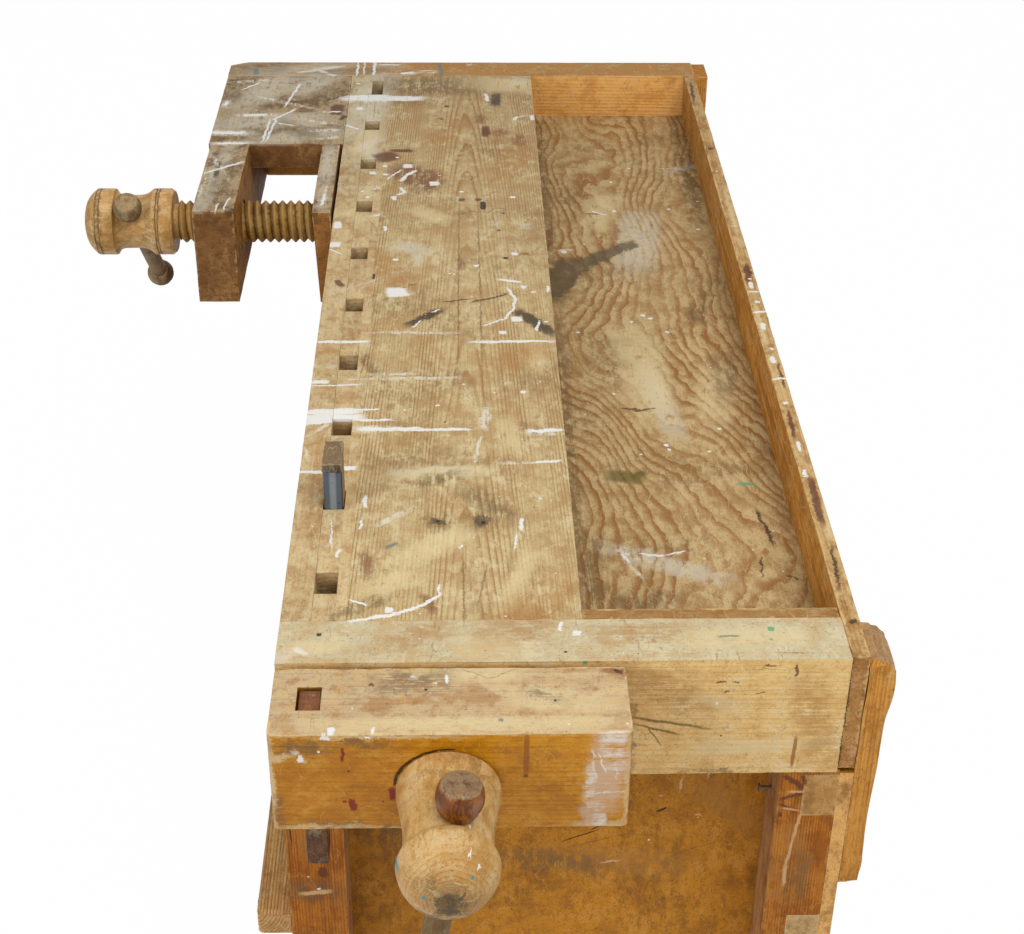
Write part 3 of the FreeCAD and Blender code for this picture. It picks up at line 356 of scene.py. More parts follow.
# How much of what dry paint catches comes from the tops of the fibres, and how much from rubbing.
BY_FIBRES, BY_RUBBING = 0.3, 0.7
# The edge of a drop from outside to inside, and how far brush hairs move it, between points one apart.
DROP_EDGE, DROP_RAGGED = (0.036, 0.016), 0.12

Stroke = tuple[float, float, float, float, float]


@dataclass(frozen=True)
class Sheet:
    """Marks on one flat side; a stroke is its two ends and its width, in millimetres from the origin."""

    axes: tuple[int, int]
    level: tuple[int, float]
    marks: dict[Mark, Sequence[Stroke]]
    deep: float = 3.0
    spatter: float = 0.0

    def near(self, mark: Mark, box: Box) -> list["Placed"]:
        """Finds the strokes of a mark that reach a box.

        Args:
            mark: the kind of mark.
            box: the box.

        Returns:
            Those strokes, in place.
        """
        found = []
        origin = Vector([ORIGIN[axis] for axis in self.axes])
        for a0, b0, a1, b1, width in self.marks.get(mark, ()):
            start, end = origin + Vector((a0, b0)) * MM, origin + Vector((a1, b1)) * MM
            centre, run = (start + end) / 2, end - start
            half = run.length / 2 + width * MM / 2
            spans = [(box.low[axis] - half, box.high[axis] + half) for axis in self.axes]
            if all(low < place < high for place, (low, high) in zip(centre, spans)):
                found.append(Placed(centre, math.atan2(run.y, run.x), half, width * MM / 2))
        return found


@dataclass(frozen=True)
class Placed:
    """A stroke in place on its side, in metres."""

    centre: Vector
    turn: float
    half_length: float
    half_width: float

    def rows(self) -> tuple[tuple[float, float, float], ...]:
        """Works out what a point's two coordinates and 1 are multiplied by, for its place on the stroke.

        Returns:
            One row for its place along the stroke and one for its place across, in half sizes.
        """
        cos, sin = math.cos(self.turn), math.sin(self.turn)
        rows = []
        for a, b, half in ((cos, sin, self.half_length), (-sin, cos, self.half_width)):
            rows.append((a / half, b / half, -(a * self.centre.x + b * self.centre.y) / half))
        return tuple(rows)


@dataclass
class Skin:
    """A surface while layers are laid on it: its colour, roughness, and height in metres."""

    graph: Graph
    colour: Value
    rough: Value
    height: Value

    def lay(self, mask: Value, colour: Value, rough: Optional[float] = None, thick: float = 0.0) -> None:
        """Lays a layer where the mask is 1.

        Args:
            mask: where it lies.
            colour: its colour.
            rough: its roughness, or None to keep what is under it.
            thick: how far it stands up, in metres.
        """
        self.colour = self.graph.blend(mask, self.colour, colour)
        if rough is not None:
            self.rough = self.rough + mask * (rough - self.rough)
        if thick:
            self.height = self.height + mask * thick

    def mark(self, sheet: Sheet, box: Box, streaks: Sock, rubbed: Sock) -> None:
        """Lays one side's marks that reach a box.

        Args:
            sheet: the side and its marks.
            box: the board's box.
            streaks: fine noise along the fibres, for paint that only catches their tops.
            rubbed: patchy noise, for paint that is partly rubbed away.
        """
        near = {mark: sheet.near(mark, box) for mark in Mark}
        axis, level = sheet.level
        level = ORIGIN[axis] + level * MM
        deep = sheet.deep * MM
        if not any(near.values()) or not box.low[axis] - deep < level < box.high[axis] + deep:
            return
        g = self.graph
        split = g.parts(g.place())
        flat = g.join(split[sheet.axes[0]], split[sheet.axes[1]])
        side = (split[axis] - level).size().rise(deep + 3 * MM, deep)
        slow, fast = g.wander(flat, SLOW), g.wander(flat, FAST)
        hairs = g.noise(flat * BRUSHED_ALONG, FAST) - 0.5
        dry = streaks * BY_FIBRES + rubbed * BY_RUBBING
        for mark, strokes in near.items():
            if not strokes:
                continue
            pigment = mark.value
            warp = pigment.ragged * MM
            gap = self.gap_to(flat + slow * warp + fast * (warp * 0.8), strokes)
            if pigment.brushed:
                gap = gap + hairs * (pigment.brushed * 2.0)
            mask = gap.rise(1.0 + pigment.soft, 1.0 - pigment.soft) * side * pigment.cover
            if pigment.dry:
                mask = mask * dry.rise(pigment.dry - 0.06, pigment.dry + 0.05)
            self.lay(mask, pigment.colour, pigment.rough, pigment.thick * MM)
        if sheet.spatter:
            for spatter in Spatter:
                scale, share, mark = spatter.value
                spot, chance = g.spots(flat + fast * (2 * MM), scale)
                rare = chance.rise(1 - share * sheet.spatter, 1.02 - share * sheet.spatter)
                drop = (spot - hairs.size() * DROP_RAGGED).rise(*DROP_EDGE) * rare
                self.lay(drop * side * 0.85, mark.value.colour, 0.5)

    def gap_to(self, flat: Sock, strokes: Sequence["Placed"]) -> Sock:
        """How far a point is from the nearest stroke, which is 1 at the stroke's edge.

        Three strokes are worked out at once, one in each channel of a vector.

        Args:
            flat: the point on the side.
            strokes: the strokes.

        Returns:
            The distance as a share of the stroke's half size.
        """
        g = self.graph
        x, y, _ = g.parts(flat)
        x, y = g.join(x, x, x), g.join(y, y, y)
        nearest = None
        for first in range(0, len(strokes), 3):
            three = [strokes[min(first + i, len(strokes) - 1)] for i in range(3)]
            rows = [stroke.rows() for stroke in three]
            reach = []
            for which in range(2):
                by_x, by_y, fixed = (tuple(row[which][part] for row in rows) for part in range(3))
                line = g.times_plus(x, by_x, g.times_plus(y, by_y, fixed))
                reach.append(line * line)
            far = g.times_plus(reach[0], reach[0], reach[1] * reach[1])
            nearest = far if nearest is None else nearest.least(far)
        a, b, c = g.parts(nearest)
        return a.least(b).least(c).root()

    def finish(self, metal: float = 0.0, coat: float = 0.0) -> bpy.types.Material:
        """Ends the material with its shader.

        Args:
            metal: how metallic it is.
            coat: share of clear varnish on it.

        Returns:
            The finished material.
        """
        g = self.graph
        bump = g.node("ShaderNodeBump", {}, {"Strength": 1.0, "Distance": 1.0, "Height": self.height})
        inputs = {"Base Color": self.colour, "Roughness": self.rough, "Metallic": metal, "Coat Weight": coat,
                  "Specular IOR Level": 0.5 if metal else 0.2, "Coat Roughness": 0.25, "Normal": bump}
        shader = g.node("ShaderNodeBsdfPrincipled", {}, inputs)
        g.node("ShaderNodeOutputMaterial", {}, {0: shader}, None)
        return g.material


@dataclass(frozen=True)
class Side:
    """A change of colour on the faces that look one way."""

    axis: int
    way: float
    colour: Colour
    share: float = 0.8


@dataclass(frozen=True)
class Fade:
    """A change of colour from one place to another along an axis, in millimetres from the origin."""

    axis: int
    start: float
    end: float
    colour: Colour
    share: float = 0.5


@dataclass(frozen=True)
class Wood:
    """How one timber looks: its rings, fibres, dirt and worn edges; lengths are in millimetres."""

    early: Colour
    late: Colour
    ring: float = 5.0
    figure: float = 0.7
    heart: tuple[float, float] = (0.0, -60.0)
    lean: float = 0.01
    sway: float = 8.0
    fibre: float = 0.35
    grime: Colour = tone(104, 74, 40)
    dirt: float = 0.35
    mottle: Colour = tone(156, 110, 58)
    mottled: float = 0.4
    pale: Colour = tone(212, 194, 150)
    paled: float = 0.25
    specks: float = 0.5
    scratched: float = 0.35
    edge: Colour = tone(206, 180, 132)
    wear: float = 2.5
    rub: float = 0.5
    rough: float = 0.62
    coat: float = 0.0
    relief: float = 0.16

    def skin(self, name: str, box: Box, axis: Axis, seed: float = 0.0,
             layers: Sequence["Layer"] = ()) -> Skin:
        """Lays this timber on a board.

        Args:
            name: the material's name.
            box: the board's box, from which its worn edges are found.
            axis: the way its fibres run.
            seed: moves the pattern, so that no two boards match.
            layers: the tints and marks on it, the first at the bottom.

        Returns:
            The surface, ready for its shader.
        """
        g = Graph(name)
        across, up, along = axis.value
        local = g.place() - box.middle
        split = g.parts(local)
        u, v, w = split[across], split[up], split[along]
        island = g.node("ShaderNodeNewGeometry", {}, {}, "Random Per Island")
        shift = island * 3.0 + seed
        skin = self.figured(g, u, v, w, shift)
        hair = g.join(u + shift, v, w * 0.018)
        streaks, broad = g.noise(hair, Cloud(650.0, 3.0)), g.noise(hair, Cloud(90.0))
        moved = local + (seed, seed * 0.7, seed * 1.3)
        clouds = g.noise(moved, Cloud(7.0, 5.0, 0.6))
        blots = g.noise(moved, Cloud(24.0, 8.0, 0.7))
        flecks = g.noise(g.join(u + shift, v + seed, w * 0.5), Cloud(100.0, 6.0, 0.72))
        grit = g.noise(moved, Cloud(480.0, 4.0, 0.65))
        for layer in layers:
            if isinstance(layer, Side):
                facing = g.parts(g.facing())[layer.axis] * layer.way + (blots - 0.5) * 0.5
                skin.lay(facing.rise(0.45, 0.75) * layer.share, layer.colour)
            elif isinstance(layer, Fade):
                sway = (clouds - 0.5) * (0.4 * (layer.end - layer.start) * MM)
                place = g.parts(g.place())[layer.axis] + sway
                start, end = (ORIGIN[layer.axis] + value * MM for value in (layer.start, layer.end))
                skin.lay(place.rise(start, end) * layer.share, layer.colour)
        skin.lay(streaks.rise(0.42, 0.75) * self.fibre, self.late)
        skin.lay(broad.rise(0.35, 0.7) * (self.fibre * 0.5), self.late)
        end = g.parts(g.facing())[along].size().rise(0.55, 0.9)
        skin.lay(end * 0.4, self.late)
        skin.lay(blots.rise(0.5, 0.6) * self.mottled, self.mottle)
        skin.lay(flecks.rise(0.52, 0.62) * (self.mottled * 0.85), self.mottle)
        skin.lay(clouds.rise(0.48, 0.66) * flecks.rise(0.4, 0.56) * self.dirt, self.grime)
        pale = blots.rise(0.5, 0.4) * flecks.rise(0.57, 0.45)
        skin.lay(pale * self.paled, self.pale)
        skin.lay(self.scratches(g, moved, 11.0) * blots.rise(0.44, 0.54) * self.scratched, self.pale)
        skin.lay(self.scratches(g, moved, 17.0) * blots.rise(0.54, 0.46) * self.scratched, self.grime)
        skin.lay(grit.rise(0.56, 0.68) * self.specks, self.grime)
        skin.lay(grit.rise(0.42, 0.3) * (self.specks * 0.6), self.pale)
        skin.rough = clouds * 0.16 + (self.rough - 0.08)
        ground = streaks * (self.relief * 1.2 * MM) + flecks * (self.relief * 1.5 * MM)
        skin.height = skin.height + ground + grit.rise(0.62, 0.7) * (-0.15 * MM)
        reach = (box.high - box.low) / 2
        inset = g.parts(tuple(reach) - local.size())
        middle = inset[0].least(inset[1]).most(inset[0].most(inset[1]).least(inset[2]))
        worn = (middle + (flecks - 0.5) * (self.wear * 6.0 * MM)).rise(self.wear * MM, 0.0)
        skin.lay(worn * blots.rise(0.4, 0.56) * self.rub, self.edge)
        for layer in layers:
            if isinstance(layer, Sheet):
                skin.mark(layer, box, streaks, flecks)
        return skin

    def scratches(self, g: Graph, place: Sock, scale: float) -> Sock:
        """Thin lines that wander over the surface."""
        return (g.noise(place * (2.4, 0.5, 1.4), Cloud(scale, 3.0, 0.5)) - 0.5).size().rise(0.007, 0.002)

    def figured(self, g: Graph, u: Sock, v: Sock, w: Sock, shift: Sock) -> Skin:
        """The bare timber with its growth rings.

        Args:
            g: the material's graph.
            u: place across the fibres.
            v: place across the fibres, up or back.
            w: place along the fibres.
            shift: moves the pattern.

        Returns:
            The surface.
        """
        grainy = g.join(u + shift, v + shift * 0.37, w * 0.07 + shift)
        sway = g.parts(g.wander(grainy, Cloud(9.0, 3.0)))
        ripple = g.noise(grainy, Cloud(55.0)) - 0.5
        du = u - self.heart[0] * MM + sway[0] * (self.sway * 2 * MM)
        dv = v - self.heart[1] * MM + sway[1] * (self.sway * 2 * MM)
        radius = g.length(g.join(du, dv)) + w * self.lean + ripple * (self.ring * 0.6 * MM)
        turn = radius * (1 / (self.ring * MM))
        part = turn.fraction()
        late = part.rise(0.4, 0.92) * part.rise(1.0, 0.94)
        strength = g.noise(g.join(turn * 0.21, shift, w * 3.0), Cloud(1.0)).rise(0.25, 0.7)
        colour = g.blend(late * strength * self.figure, self.early, self.late)
        return Skin(g, colour, self.rough, late * (-self.relief * MM))

    def material(self, name: str, box: Box, axis: Axis, seed: float = 0.0,
                 layers: Sequence["Layer"] = ()) -> bpy.types.Material:
        """The finished material of a board, from what skin is given."""
        return self.skin(name, box, axis, seed, layers).finish(coat=self.coat)


@dataclass(frozen=True)
class Ply(Wood):
    """Rotary-cut plywood, whose figure is bands round low hills; lengths are in millimetres."""

    band: float = 17.0
    bend: tuple[float, float, float] = (0.0, 1.0, 0.0)
    roll: float = 60.0
    jag: float = 9.0

    def figured(self, g: Graph, u: Sock, v: Sock, w: Sock, shift: Sock) -> Skin:
        """The bare veneer with its figure.

        Args:
            g: the material's graph.
            u: place across the fibres.
            v: place through the veneer, which is not used.
            w: place along the fibres.
            shift: moves the pattern.

        Returns:
            The surface.
        """
        start, end, sweep = self.bend
        flat = g.join(u + shift, w * 0.45 + shift)
        hills = g.noise(flat, Cloud(6.0, 1.0)) - 0.5
        waves = g.noise(g.join(u + shift, w * 0.55), Cloud(38.0)) - 0.5
        fine = g.noise(g.join(u + shift, w * 0.3), Cloud(130.0)) - 0.5
        slope = u - w.rise(start * MM, end * MM) * (sweep * MM)
        rise = waves * (self.jag * 2 * MM) + fine * (self.jag * 0.3 * MM)
        level = slope + hills * (self.roll * 4 * MM) + rise
        turn = level * (1 / (self.band * MM))
        part = turn.fraction()
        late = part.rise(0.3, 0.85) * part.rise(1.0, 0.93)
        strength = g.noise(g.join(turn * 0.31, w * 2.0), Cloud(1.0)).rise(0.2, 0.62)
        colour = g.blend(late * strength * self.figure, self.early, self.late)
        return Skin(g, colour, self.rough, late * (-0.3 * self.relief * MM))


Layer = Union[Sheet, Side, Fade]


@dataclass(frozen=True)
class Iron:
    """How a metal part looks, with its rust and, where asked, a painted highlight line."""

    bright: Colour
    rust: Colour
    rusty: float
    rough: float
    metal: float = 0.9

    def material(self, name: str, highlight_x: Optional[float] = None) -> bpy.types.Material:
        """The finished metal.

        Args:
            name: the material's name.
            highlight_x: where along X a painted highlight runs as a bright line, or None.

        Returns:
            The material.
        """
        g = Graph(name)
        place = g.place()
        cloud = g.noise(place, Cloud(160.0, 4.0))
        grain = g.noise(place, Cloud(1100.0, 3.0))
        skin = Skin(g, self.bright, cloud * 0.3 + (self.rough - 0.15), grain * (0.05 * MM))
        skin.lay(cloud.rise(0.75 - self.rusty * 0.5, 0.95 - self.rusty * 0.5) * 0.9, self.rust, 0.85)
        skin.lay(grain.rise(0.6, 0.8) * 0.3, self.rust)
        # Painted highlight: a bright line down the spring at the given X, where its bulge catches the light.
        if highlight_x is not None:
            line = (g.parts(place)[0] - highlight_x).size() + (grain - 0.5) * (2 * MM)
            skin.lay(line.rise(5 * MM, 2 * MM) * 0.55, tone(176, 188, 202))
        return skin.finish(metal=self.metal)


class Metal(Enum):
    """The metals of the bench."""

    SPRING = Iron(tone(98, 116, 140), tone(50, 48, 54), 0.3, 0.42, 0.7)
    BLACK = Iron(tone(44, 42, 42), tone(76, 46, 30), 0.35, 0.55)
    SCREW = Iron(tone(120, 116, 108), tone(92, 62, 40), 0.4, 0.5)


class Timber(Enum):
    """The timbers of the bench."""

    TOP_PINE = Wood(tone(201, 179, 131), tone(148, 102, 52), ring=3.5, figure=0.9, heart=(8.0, -26.0),
        lean=0.03, mottle=tone(168, 128, 80), mottled=0.5, pale=tone(220, 204, 164), paled=0.45, wear=1.2,
        rub=0.35)
    RAIL_BEECH = Wood(tone(206, 182, 136), tone(170, 136, 86), ring=5.5, figure=0.4, heart=(10.0, -90.0),
        mottle=tone(160, 112, 58), mottled=0.5, pale=tone(216, 202, 166), paled=0.4, dirt=0.25, wear=1.2,
        rub=0.3)
    CAP_BEECH = Wood(tone(232, 196, 130), tone(198, 152, 86), ring=6.0, figure=0.45, heart=(20.0, -120.0),
        mottle=tone(186, 136, 70), mottled=0.35, pale=tone(224, 208, 170), paled=0.4, dirt=0.2, rub=0.45,
        wear=2.0)
    FAR_CAP = Wood(tone(240, 184, 104), tone(198, 134, 62), ring=6.0, figure=0.6, heart=(20.0, -120.0),
        dirt=0.2, mottle=tone(186, 122, 56))
    JAW = Wood(tone(206, 140, 12), tone(162, 96, 2), ring=6.0, figure=0.5, heart=(-10.0, -160.0),
        mottle=tone(150, 88, 6), mottled=0.45, pale=tone(216, 168, 78), paled=0.3, dirt=0.15,
        edge=tone(216, 182, 124), wear=3.0, rub=0.85, coat=0.12, rough=0.4)
    HUB = Wood(tone(206, 168, 108), tone(160, 112, 54), ring=3.6, figure=0.6, heart=(2.0, -4.0), wear=0.1,
        rub=0.0, mottle=tone(174, 122, 50), mottled=0.6, pale=tone(212, 186, 142), paled=0.5, dirt=0.3,
        scratched=0.25, rough=0.5, relief=0.3)
    THREAD = Wood(tone(190, 144, 64), tone(130, 92, 36), figure=0.3, wear=0.1, rub=0.0,
        mottle=tone(100, 70, 30), mottled=0.6, dirt=0.4)
    HANDLE = Wood(tone(150, 126, 88), tone(90, 68, 42), ring=6.0, figure=0.5, wear=0.1, rub=0.0,
        mottle=tone(106, 76, 40), mottled=0.6, dirt=0.5, scratched=0.6)
    KNOB = Wood(tone(130, 66, 8), tone(76, 34, 2), ring=3.0, heart=(1.0, 2.0), wear=0.1, rub=0.0,
        mottle=tone(64, 26, 2), mottled=0.7, pale=tone(166, 106, 44), paled=0.6, rough=0.32, coat=0.3,
        relief=0.25)
    GREY_KNOB = Wood(tone(132, 108, 74), tone(84, 64, 38), ring=3.0, figure=0.6, heart=(1.0, 2.0), wear=0.1,
        rub=0.0, mottle=tone(96, 68, 40), mottled=0.6, pale=tone(186, 166, 128), paled=0.5)
    SHOULDER = Wood(tone(170, 138, 92), tone(116, 80, 42), figure=0.6, heart=(0.0, -80.0),
        mottle=tone(104, 66, 30), mottled=0.65, pale=tone(176, 138, 84), paled=0.4, dirt=0.5,
        grime=tone(64, 42, 22), scratched=0.4)
    LEG = Wood(tone(186, 112, 22), tone(104, 48, 4), ring=3.2, figure=0.8, heart=(-60.0, -30.0), fibre=0.5,
        edge=tone(196, 142, 78), grime=tone(76, 42, 16), mottle=tone(128, 66, 8), mottled=0.5,
        pale=tone(198, 140, 68), rub=0.6)
    RAIL = Wood(tone(200, 158, 92), tone(150, 104, 50), ring=4.0, figure=0.6, heart=(-60.0, -10.0),
        mottle=tone(154, 106, 50))
    CLEAT = Wood(tone(212, 148, 62), tone(140, 82, 20), ring=3.4, figure=0.8, heart=(-50.0, 10.0),
        fibre=0.5, edge=tone(210, 166, 96), grime=tone(90, 62, 30), mottle=tone(140, 84, 26),
        pale=tone(206, 156, 88), rub=0.8, wear=4.0)
    PANEL = Ply(tone(190, 126, 28), tone(158, 98, 12), ring=9.0, figure=0.3, band=40.0, roll=90.0, jag=5.0,
        mottle=tone(140, 86, 28), mottled=0.5, pale=tone(200, 142, 66), paled=0.5, grime=tone(96, 66, 28),
        specks=0.8, fibre=0.1, rub=0.0, scratched=0.5)
    TRAY = Ply(tone(194, 168, 118), tone(146, 94, 46), figure=0.95, band=19.0, bend=(6.0, -564.0, 190.0),
        roll=52.0, jag=13.0, mottle=tone(150, 108, 56), mottled=0.5, pale=tone(208, 186, 138), paled=0.4,
        dirt=0.4, grime=tone(104, 84, 50), specks=0.8, fibre=0.25, rub=0.0, scratched=0.4)
    REAR = Wood(tone(210, 146, 58), tone(136, 82, 16), ring=4.5, heart=(-40.0, 30.0), fibre=0.5,
        mottle=tone(146, 90, 30), mottled=0.5, edge=tone(216, 180, 120), rub=0.8, wear=4.0)
    WEATHERED = Wood(tone(234, 186, 116), tone(140, 92, 46), ring=3.5, figure=0.85, heart=(-40.0, 30.0),
        fibre=0.6, relief=0.3)
    DOG = Wood(tone(146, 92, 62), tone(90, 50, 32), ring=3.0, figure=0.6, heart=(-20.0, 10.0), wear=1.0,
        rub=0.2)
    GREY_DOG = Wood(tone(152, 130, 98), tone(84, 64, 46), ring=2.5, figure=0.8, heart=(-6.0, 4.0), wear=1.5,
        rub=0.7)
    HIDDEN = Wood(tone(182, 148, 100), tone(144, 106, 66), ring=6.0, figure=0.5)


# ---------------------------------------------------------------- the workshop
# Faces that meet at less than this many degrees are one flat face.
FLAT = 0.5
# Edges sharper than this many degrees stay sharp: on boards, on turned pieces and on threads.
BOARD_SHARP, TURNED_SHARP, THREAD_SHARP = 32.0, 40.0, 30.0
# The sides of a thread or a bored hole, and the longest side of a turned arc in millimetres.
SIDES, ARC_STEP = 48, 3.0


class Shop:
    """The modelling steps that the pieces are made with."""

    @staticmethod
    def hold(piece: bpy.types.Object) -> bpy.types.Object:
        """Makes one object the only one selected, and the active one.

        Args:
            piece: the object.

        Returns:
            The same object.
        """
        bpy.ops.object.select_all(action="DESELECT")
        piece.select_set(True)
        bpy.context.view_layer.objects.active = piece
        return piece

    @staticmethod
    def edit(piece: bpy.types.Object) -> None:
        """Opens an object for editing with everything selected.

        Args:
            piece: the object.
        """
        Shop.hold(piece)
        bpy.ops.object.mode_set(mode="EDIT")
        bpy.ops.mesh.select_mode(type="VERT")
        bpy.ops.mesh.select_all(action="SELECT")

    @staticmethod
    def close() -> None:
        """Closes the edited mesh."""
        bpy.ops.object.mode_set(mode="OBJECT")

    @staticmethod
    def use(piece: bpy.types.Object, kind: str, settings: dict) -> None:
        """Adds a modifier with its settings and applies it.

        Args:
            piece: the object.
            kind: the modifier's type.
            settings: its attributes.
        """
        Shop.hold(piece)
        modifier = piece.modifiers.new(kind.title(), kind)
        for key, value in settings.items():
            setattr(modifier, key, value)
        bpy.ops.object.modifier_apply(modifier=modifier.name)

    @staticmethod
    def smooth(piece: bpy.types.Object, degrees: float = BOARD_SHARP) -> None:
        """Shades an object smooth except across sharp edges."""
        Shop.hold(piece)
        bpy.ops.object.shade_smooth_by_angle(angle=math.radians(degrees))

    @staticmethod
    def joined(pieces: Sequence[bpy.types.Object]) -> bpy.types.Object:
        """Joins several objects.

        Args:
            pieces: the objects.

        Returns:
            The one object, which keeps the first one's name.
        """
        Shop.hold(pieces[0])
        for piece in pieces[1:]:
            piece.select_set(True)
        if len(pieces) > 1:
            bpy.ops.object.join()
        return pieces[0]

    @staticmethod
    def copy_of(name: str, *nodes: str) -> bpy.types.Object:
        """A welded, flat-faced copy of CAD nodes.

        Args:
            name: the new piece's name.
            nodes: the nodes to copy.

        Returns:
            The new piece, as one object.
        """
        copies = []
        for node in nodes:
            made = bpy.data.objects.new(name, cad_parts[node].data.copy())
            bpy.context.scene.collection.objects.link(made)
            copies.append(made)
        piece = Shop.joined(copies)
        Shop.edit(piece)
        bpy.ops.mesh.remove_doubles(threshold=WELD)
        bpy.ops.mesh.dissolve_limited(angle_limit=math.radians(FLAT))
        Shop.close()
        return piece

    @staticmethod
    def cut_across(piece: bpy.types.Object, axis: int, places: Sequence[float]) -> None:
        """Cuts new edges round an object where flat planes cross it.

        Args:
            piece: the object.
            axis: the planes' normal.
            places: where the planes lie along it, in metres.
        """
        normal = Vector((0.0, 0.0, 0.0))
        normal[axis] = 1.0
        Shop.edit(piece)
        for place in places:
            bpy.ops.mesh.select_all(action="SELECT")
            bpy.ops.mesh.bisect(plane_co=normal * place, plane_no=normal)
        Shop.close()

    @staticmethod
    def weigh(piece: bpy.types.Object, share: Callable[[Vector], float]) -> str:
        """Gives every point of an object a weight.

        Args:
            piece: the object.
            share: the weight at a place, from 0 to 1.

        Returns:
            The name of the group that holds the weights.
        """
        group = piece.vertex_groups.new(name="worn")
        for point in piece.data.vertices:
            weight = share(point.co)
            if weight > 0.0:
                group.add([point.index], min(weight, 1.0), "REPLACE")
        return group.name

    @staticmethod
    def dent(piece: bpy.types.Object, group: str, depth: float, grain: float, middle: float = 0.0) -> None:
        """Pushes the weighted points of an object in along their normals by a cloudy amount.

        Args:
            piece: the object.
            group: the group that holds the weights.
            depth: the deepest dent, in metres.
            grain: size of the clouds, in metres.
            middle: the cloud value that stays where it is.
        """
        cloud = bpy.data.textures.new("dents", "CLOUDS")
        cloud.noise_scale = grain
        cloud.noise_depth = 2
        settings = {"texture": cloud, "texture_coords": "LOCAL", "strength": -depth, "mid_level": middle,
                    "vertex_group": group}
        Shop.use(piece, "DISPLACE", settings)
        bpy.data.textures.remove(cloud)

    @staticmethod
    def leaning(along: Vector) -> Matrix:
        """The turn that lays the Z axis along a line."""
        return along.to_track_quat("Z", "Y").to_matrix()

    @staticmethod
    def wire(name: str, places: Sequence[Vector]) -> bpy.types.Object:
        """Makes a chain of edges.

        Args:
            name: its name.
            places: where its points are.

        Returns:
            The chain, still open for editing.
        """
        bpy.ops.object.select_all(action="DESELECT")
        bpy.ops.mesh.primitive_plane_add(size=MM, location=(0, 0, 0))
        piece = bpy.context.object
        piece.name = name
        Shop.edit(piece)
        bpy.ops.mesh.merge(type="CENTER")
        bpy.ops.transform.translate(value=places[0])
        for here, there in zip(places, places[1:]):
            bpy.ops.mesh.extrude_region_move(TRANSFORM_OT_translate={"value": there - here})
        return piece

    @staticmethod
    def turned(name: str, outline: "Outline", start: Vector, along: Vector,
               sides: int = 72) -> bpy.types.Object:
        """A piece turned on a lathe.

        Args:
            name: its name.
            outline: (place along the axis, radius) steps in millimetres from axis to axis; a third
                number makes an arc to that step, which stands off its chord by so much.
            start: where the axis starts.
            along: the axis.
            sides: how many sides the turned surface has.

        Returns:
            The closed piece.
        """
        lean = Shop.leaning(along)
        points = [Vector((outline[0][1], 0.0, outline[0][0]))]
        for step in outline[1:]:
            here, there = points[-1], Vector((step[1], 0.0, step[0]))
            chord = there - here
            bow = step[2] if len(step) > 2 else 0.0
            out = Vector((chord.z, 0.0, -chord.x)).normalized()
            cuts = max(1, round(chord.length / ARC_STEP)) if bow else 1
            for i in range(1, cuts + 1):
                share = i / cuts
                points.append(here + chord * share + out * (4 * bow * share * (1 - share)))
        piece = Shop.wire(name, [start + lean @ (point * MM) for point in points])
        bpy.ops.mesh.select_all(action="SELECT")
        bpy.ops.mesh.spin(steps=sides, angle=2 * math.pi, center=start, axis=along)
        bpy.ops.mesh.select_all(action="SELECT")
        bpy.ops.mesh.remove_doubles(threshold=WELD)
        bpy.ops.mesh.normals_make_consistent(inside=False)
        Shop.close()
        return piece

    @staticmethod
    def threaded(name: str, root: float, crest: float, pitch: float, start: Vector, along: Vector,
                 length: float) -> bpy.types.Object:
        """A length of wooden thread: one V ridge wound round and round.

        Args:
            name: its name.
            root: radius at the bottom of the V, in millimetres.
            crest: radius at its top.
            pitch: the step of one turn.
            start: where the thread starts.
            along: its axis.
            length: its length in millimetres.

        Returns:
            The closed piece, cut square at both ends.
        """
        land, spare = 0.05, 1.5 * pitch
        ridge = ((0.0, root), (0.5 - land, crest), (0.5 + land, crest), (1.0, root))
        piece = Shop.wire(name, [Vector((radius, 0.0, pitch * share)) * MM for share, radius in ridge])
        Shop.close()
        turns = int(length / pitch) + 3
        Shop.use(piece, "SCREW", {"axis": "Z", "screw_offset": pitch * MM, "iterations": turns,
                                  "steps": SIDES, "render_steps": SIDES, "use_merge_vertices": True,
                                  "merge_threshold": WELD, "use_smooth_shade": False})
        Shop.edit(piece)
        bpy.ops.mesh.remove_doubles(threshold=WELD)
        for place, away in ((spare, 1), (spare + length, -1)):
            bpy.ops.mesh.select_all(action="SELECT")
            bpy.ops.mesh.bisect(plane_co=(0, 0, place * MM), plane_no=(0, 0, away), use_fill=True,
                                clear_inner=True)
        bpy.ops.mesh.select_all(action="SELECT")
        bpy.ops.mesh.normals_make_consistent(inside=False)
        Shop.close()
        lean = Shop.leaning(along).to_4x4()
        piece.data.transform(Matrix.Translation(start) @ lean @ Matrix.Translation((0, 0, -spare * MM)))
        return piece

    @staticmethod
    def bored(piece: bpy.types.Object, centre: Vector, along: Vector, radius: float, length: float) -> None:
        """Bores a round hole through an object.

        Args:
            piece: the object.
            centre: middle of the hole.
            along: its axis.
            radius: its radius in metres.
            length: its length in metres.
        """
        bpy.ops.object.select_all(action="DESELECT")
        bpy.ops.mesh.primitive_cylinder_add(vertices=SIDES, radius=radius, depth=length)
        drill = bpy.context.object
        drill.data.transform(Matrix.Translation(centre) @ Shop.leaning(along).to_4x4())
        Shop.use(piece, "BOOLEAN", {"operation": "DIFFERENCE", "object": drill, "solver": "EXACT"})
        bpy.data.objects.remove(drill)

    @staticmethod
    def cover(piece: bpy.types.Object, material: bpy.types.Material) -> None:
        """Gives an object its one material."""
        piece.data.materials.clear()
        piece.data.materials.append(material)

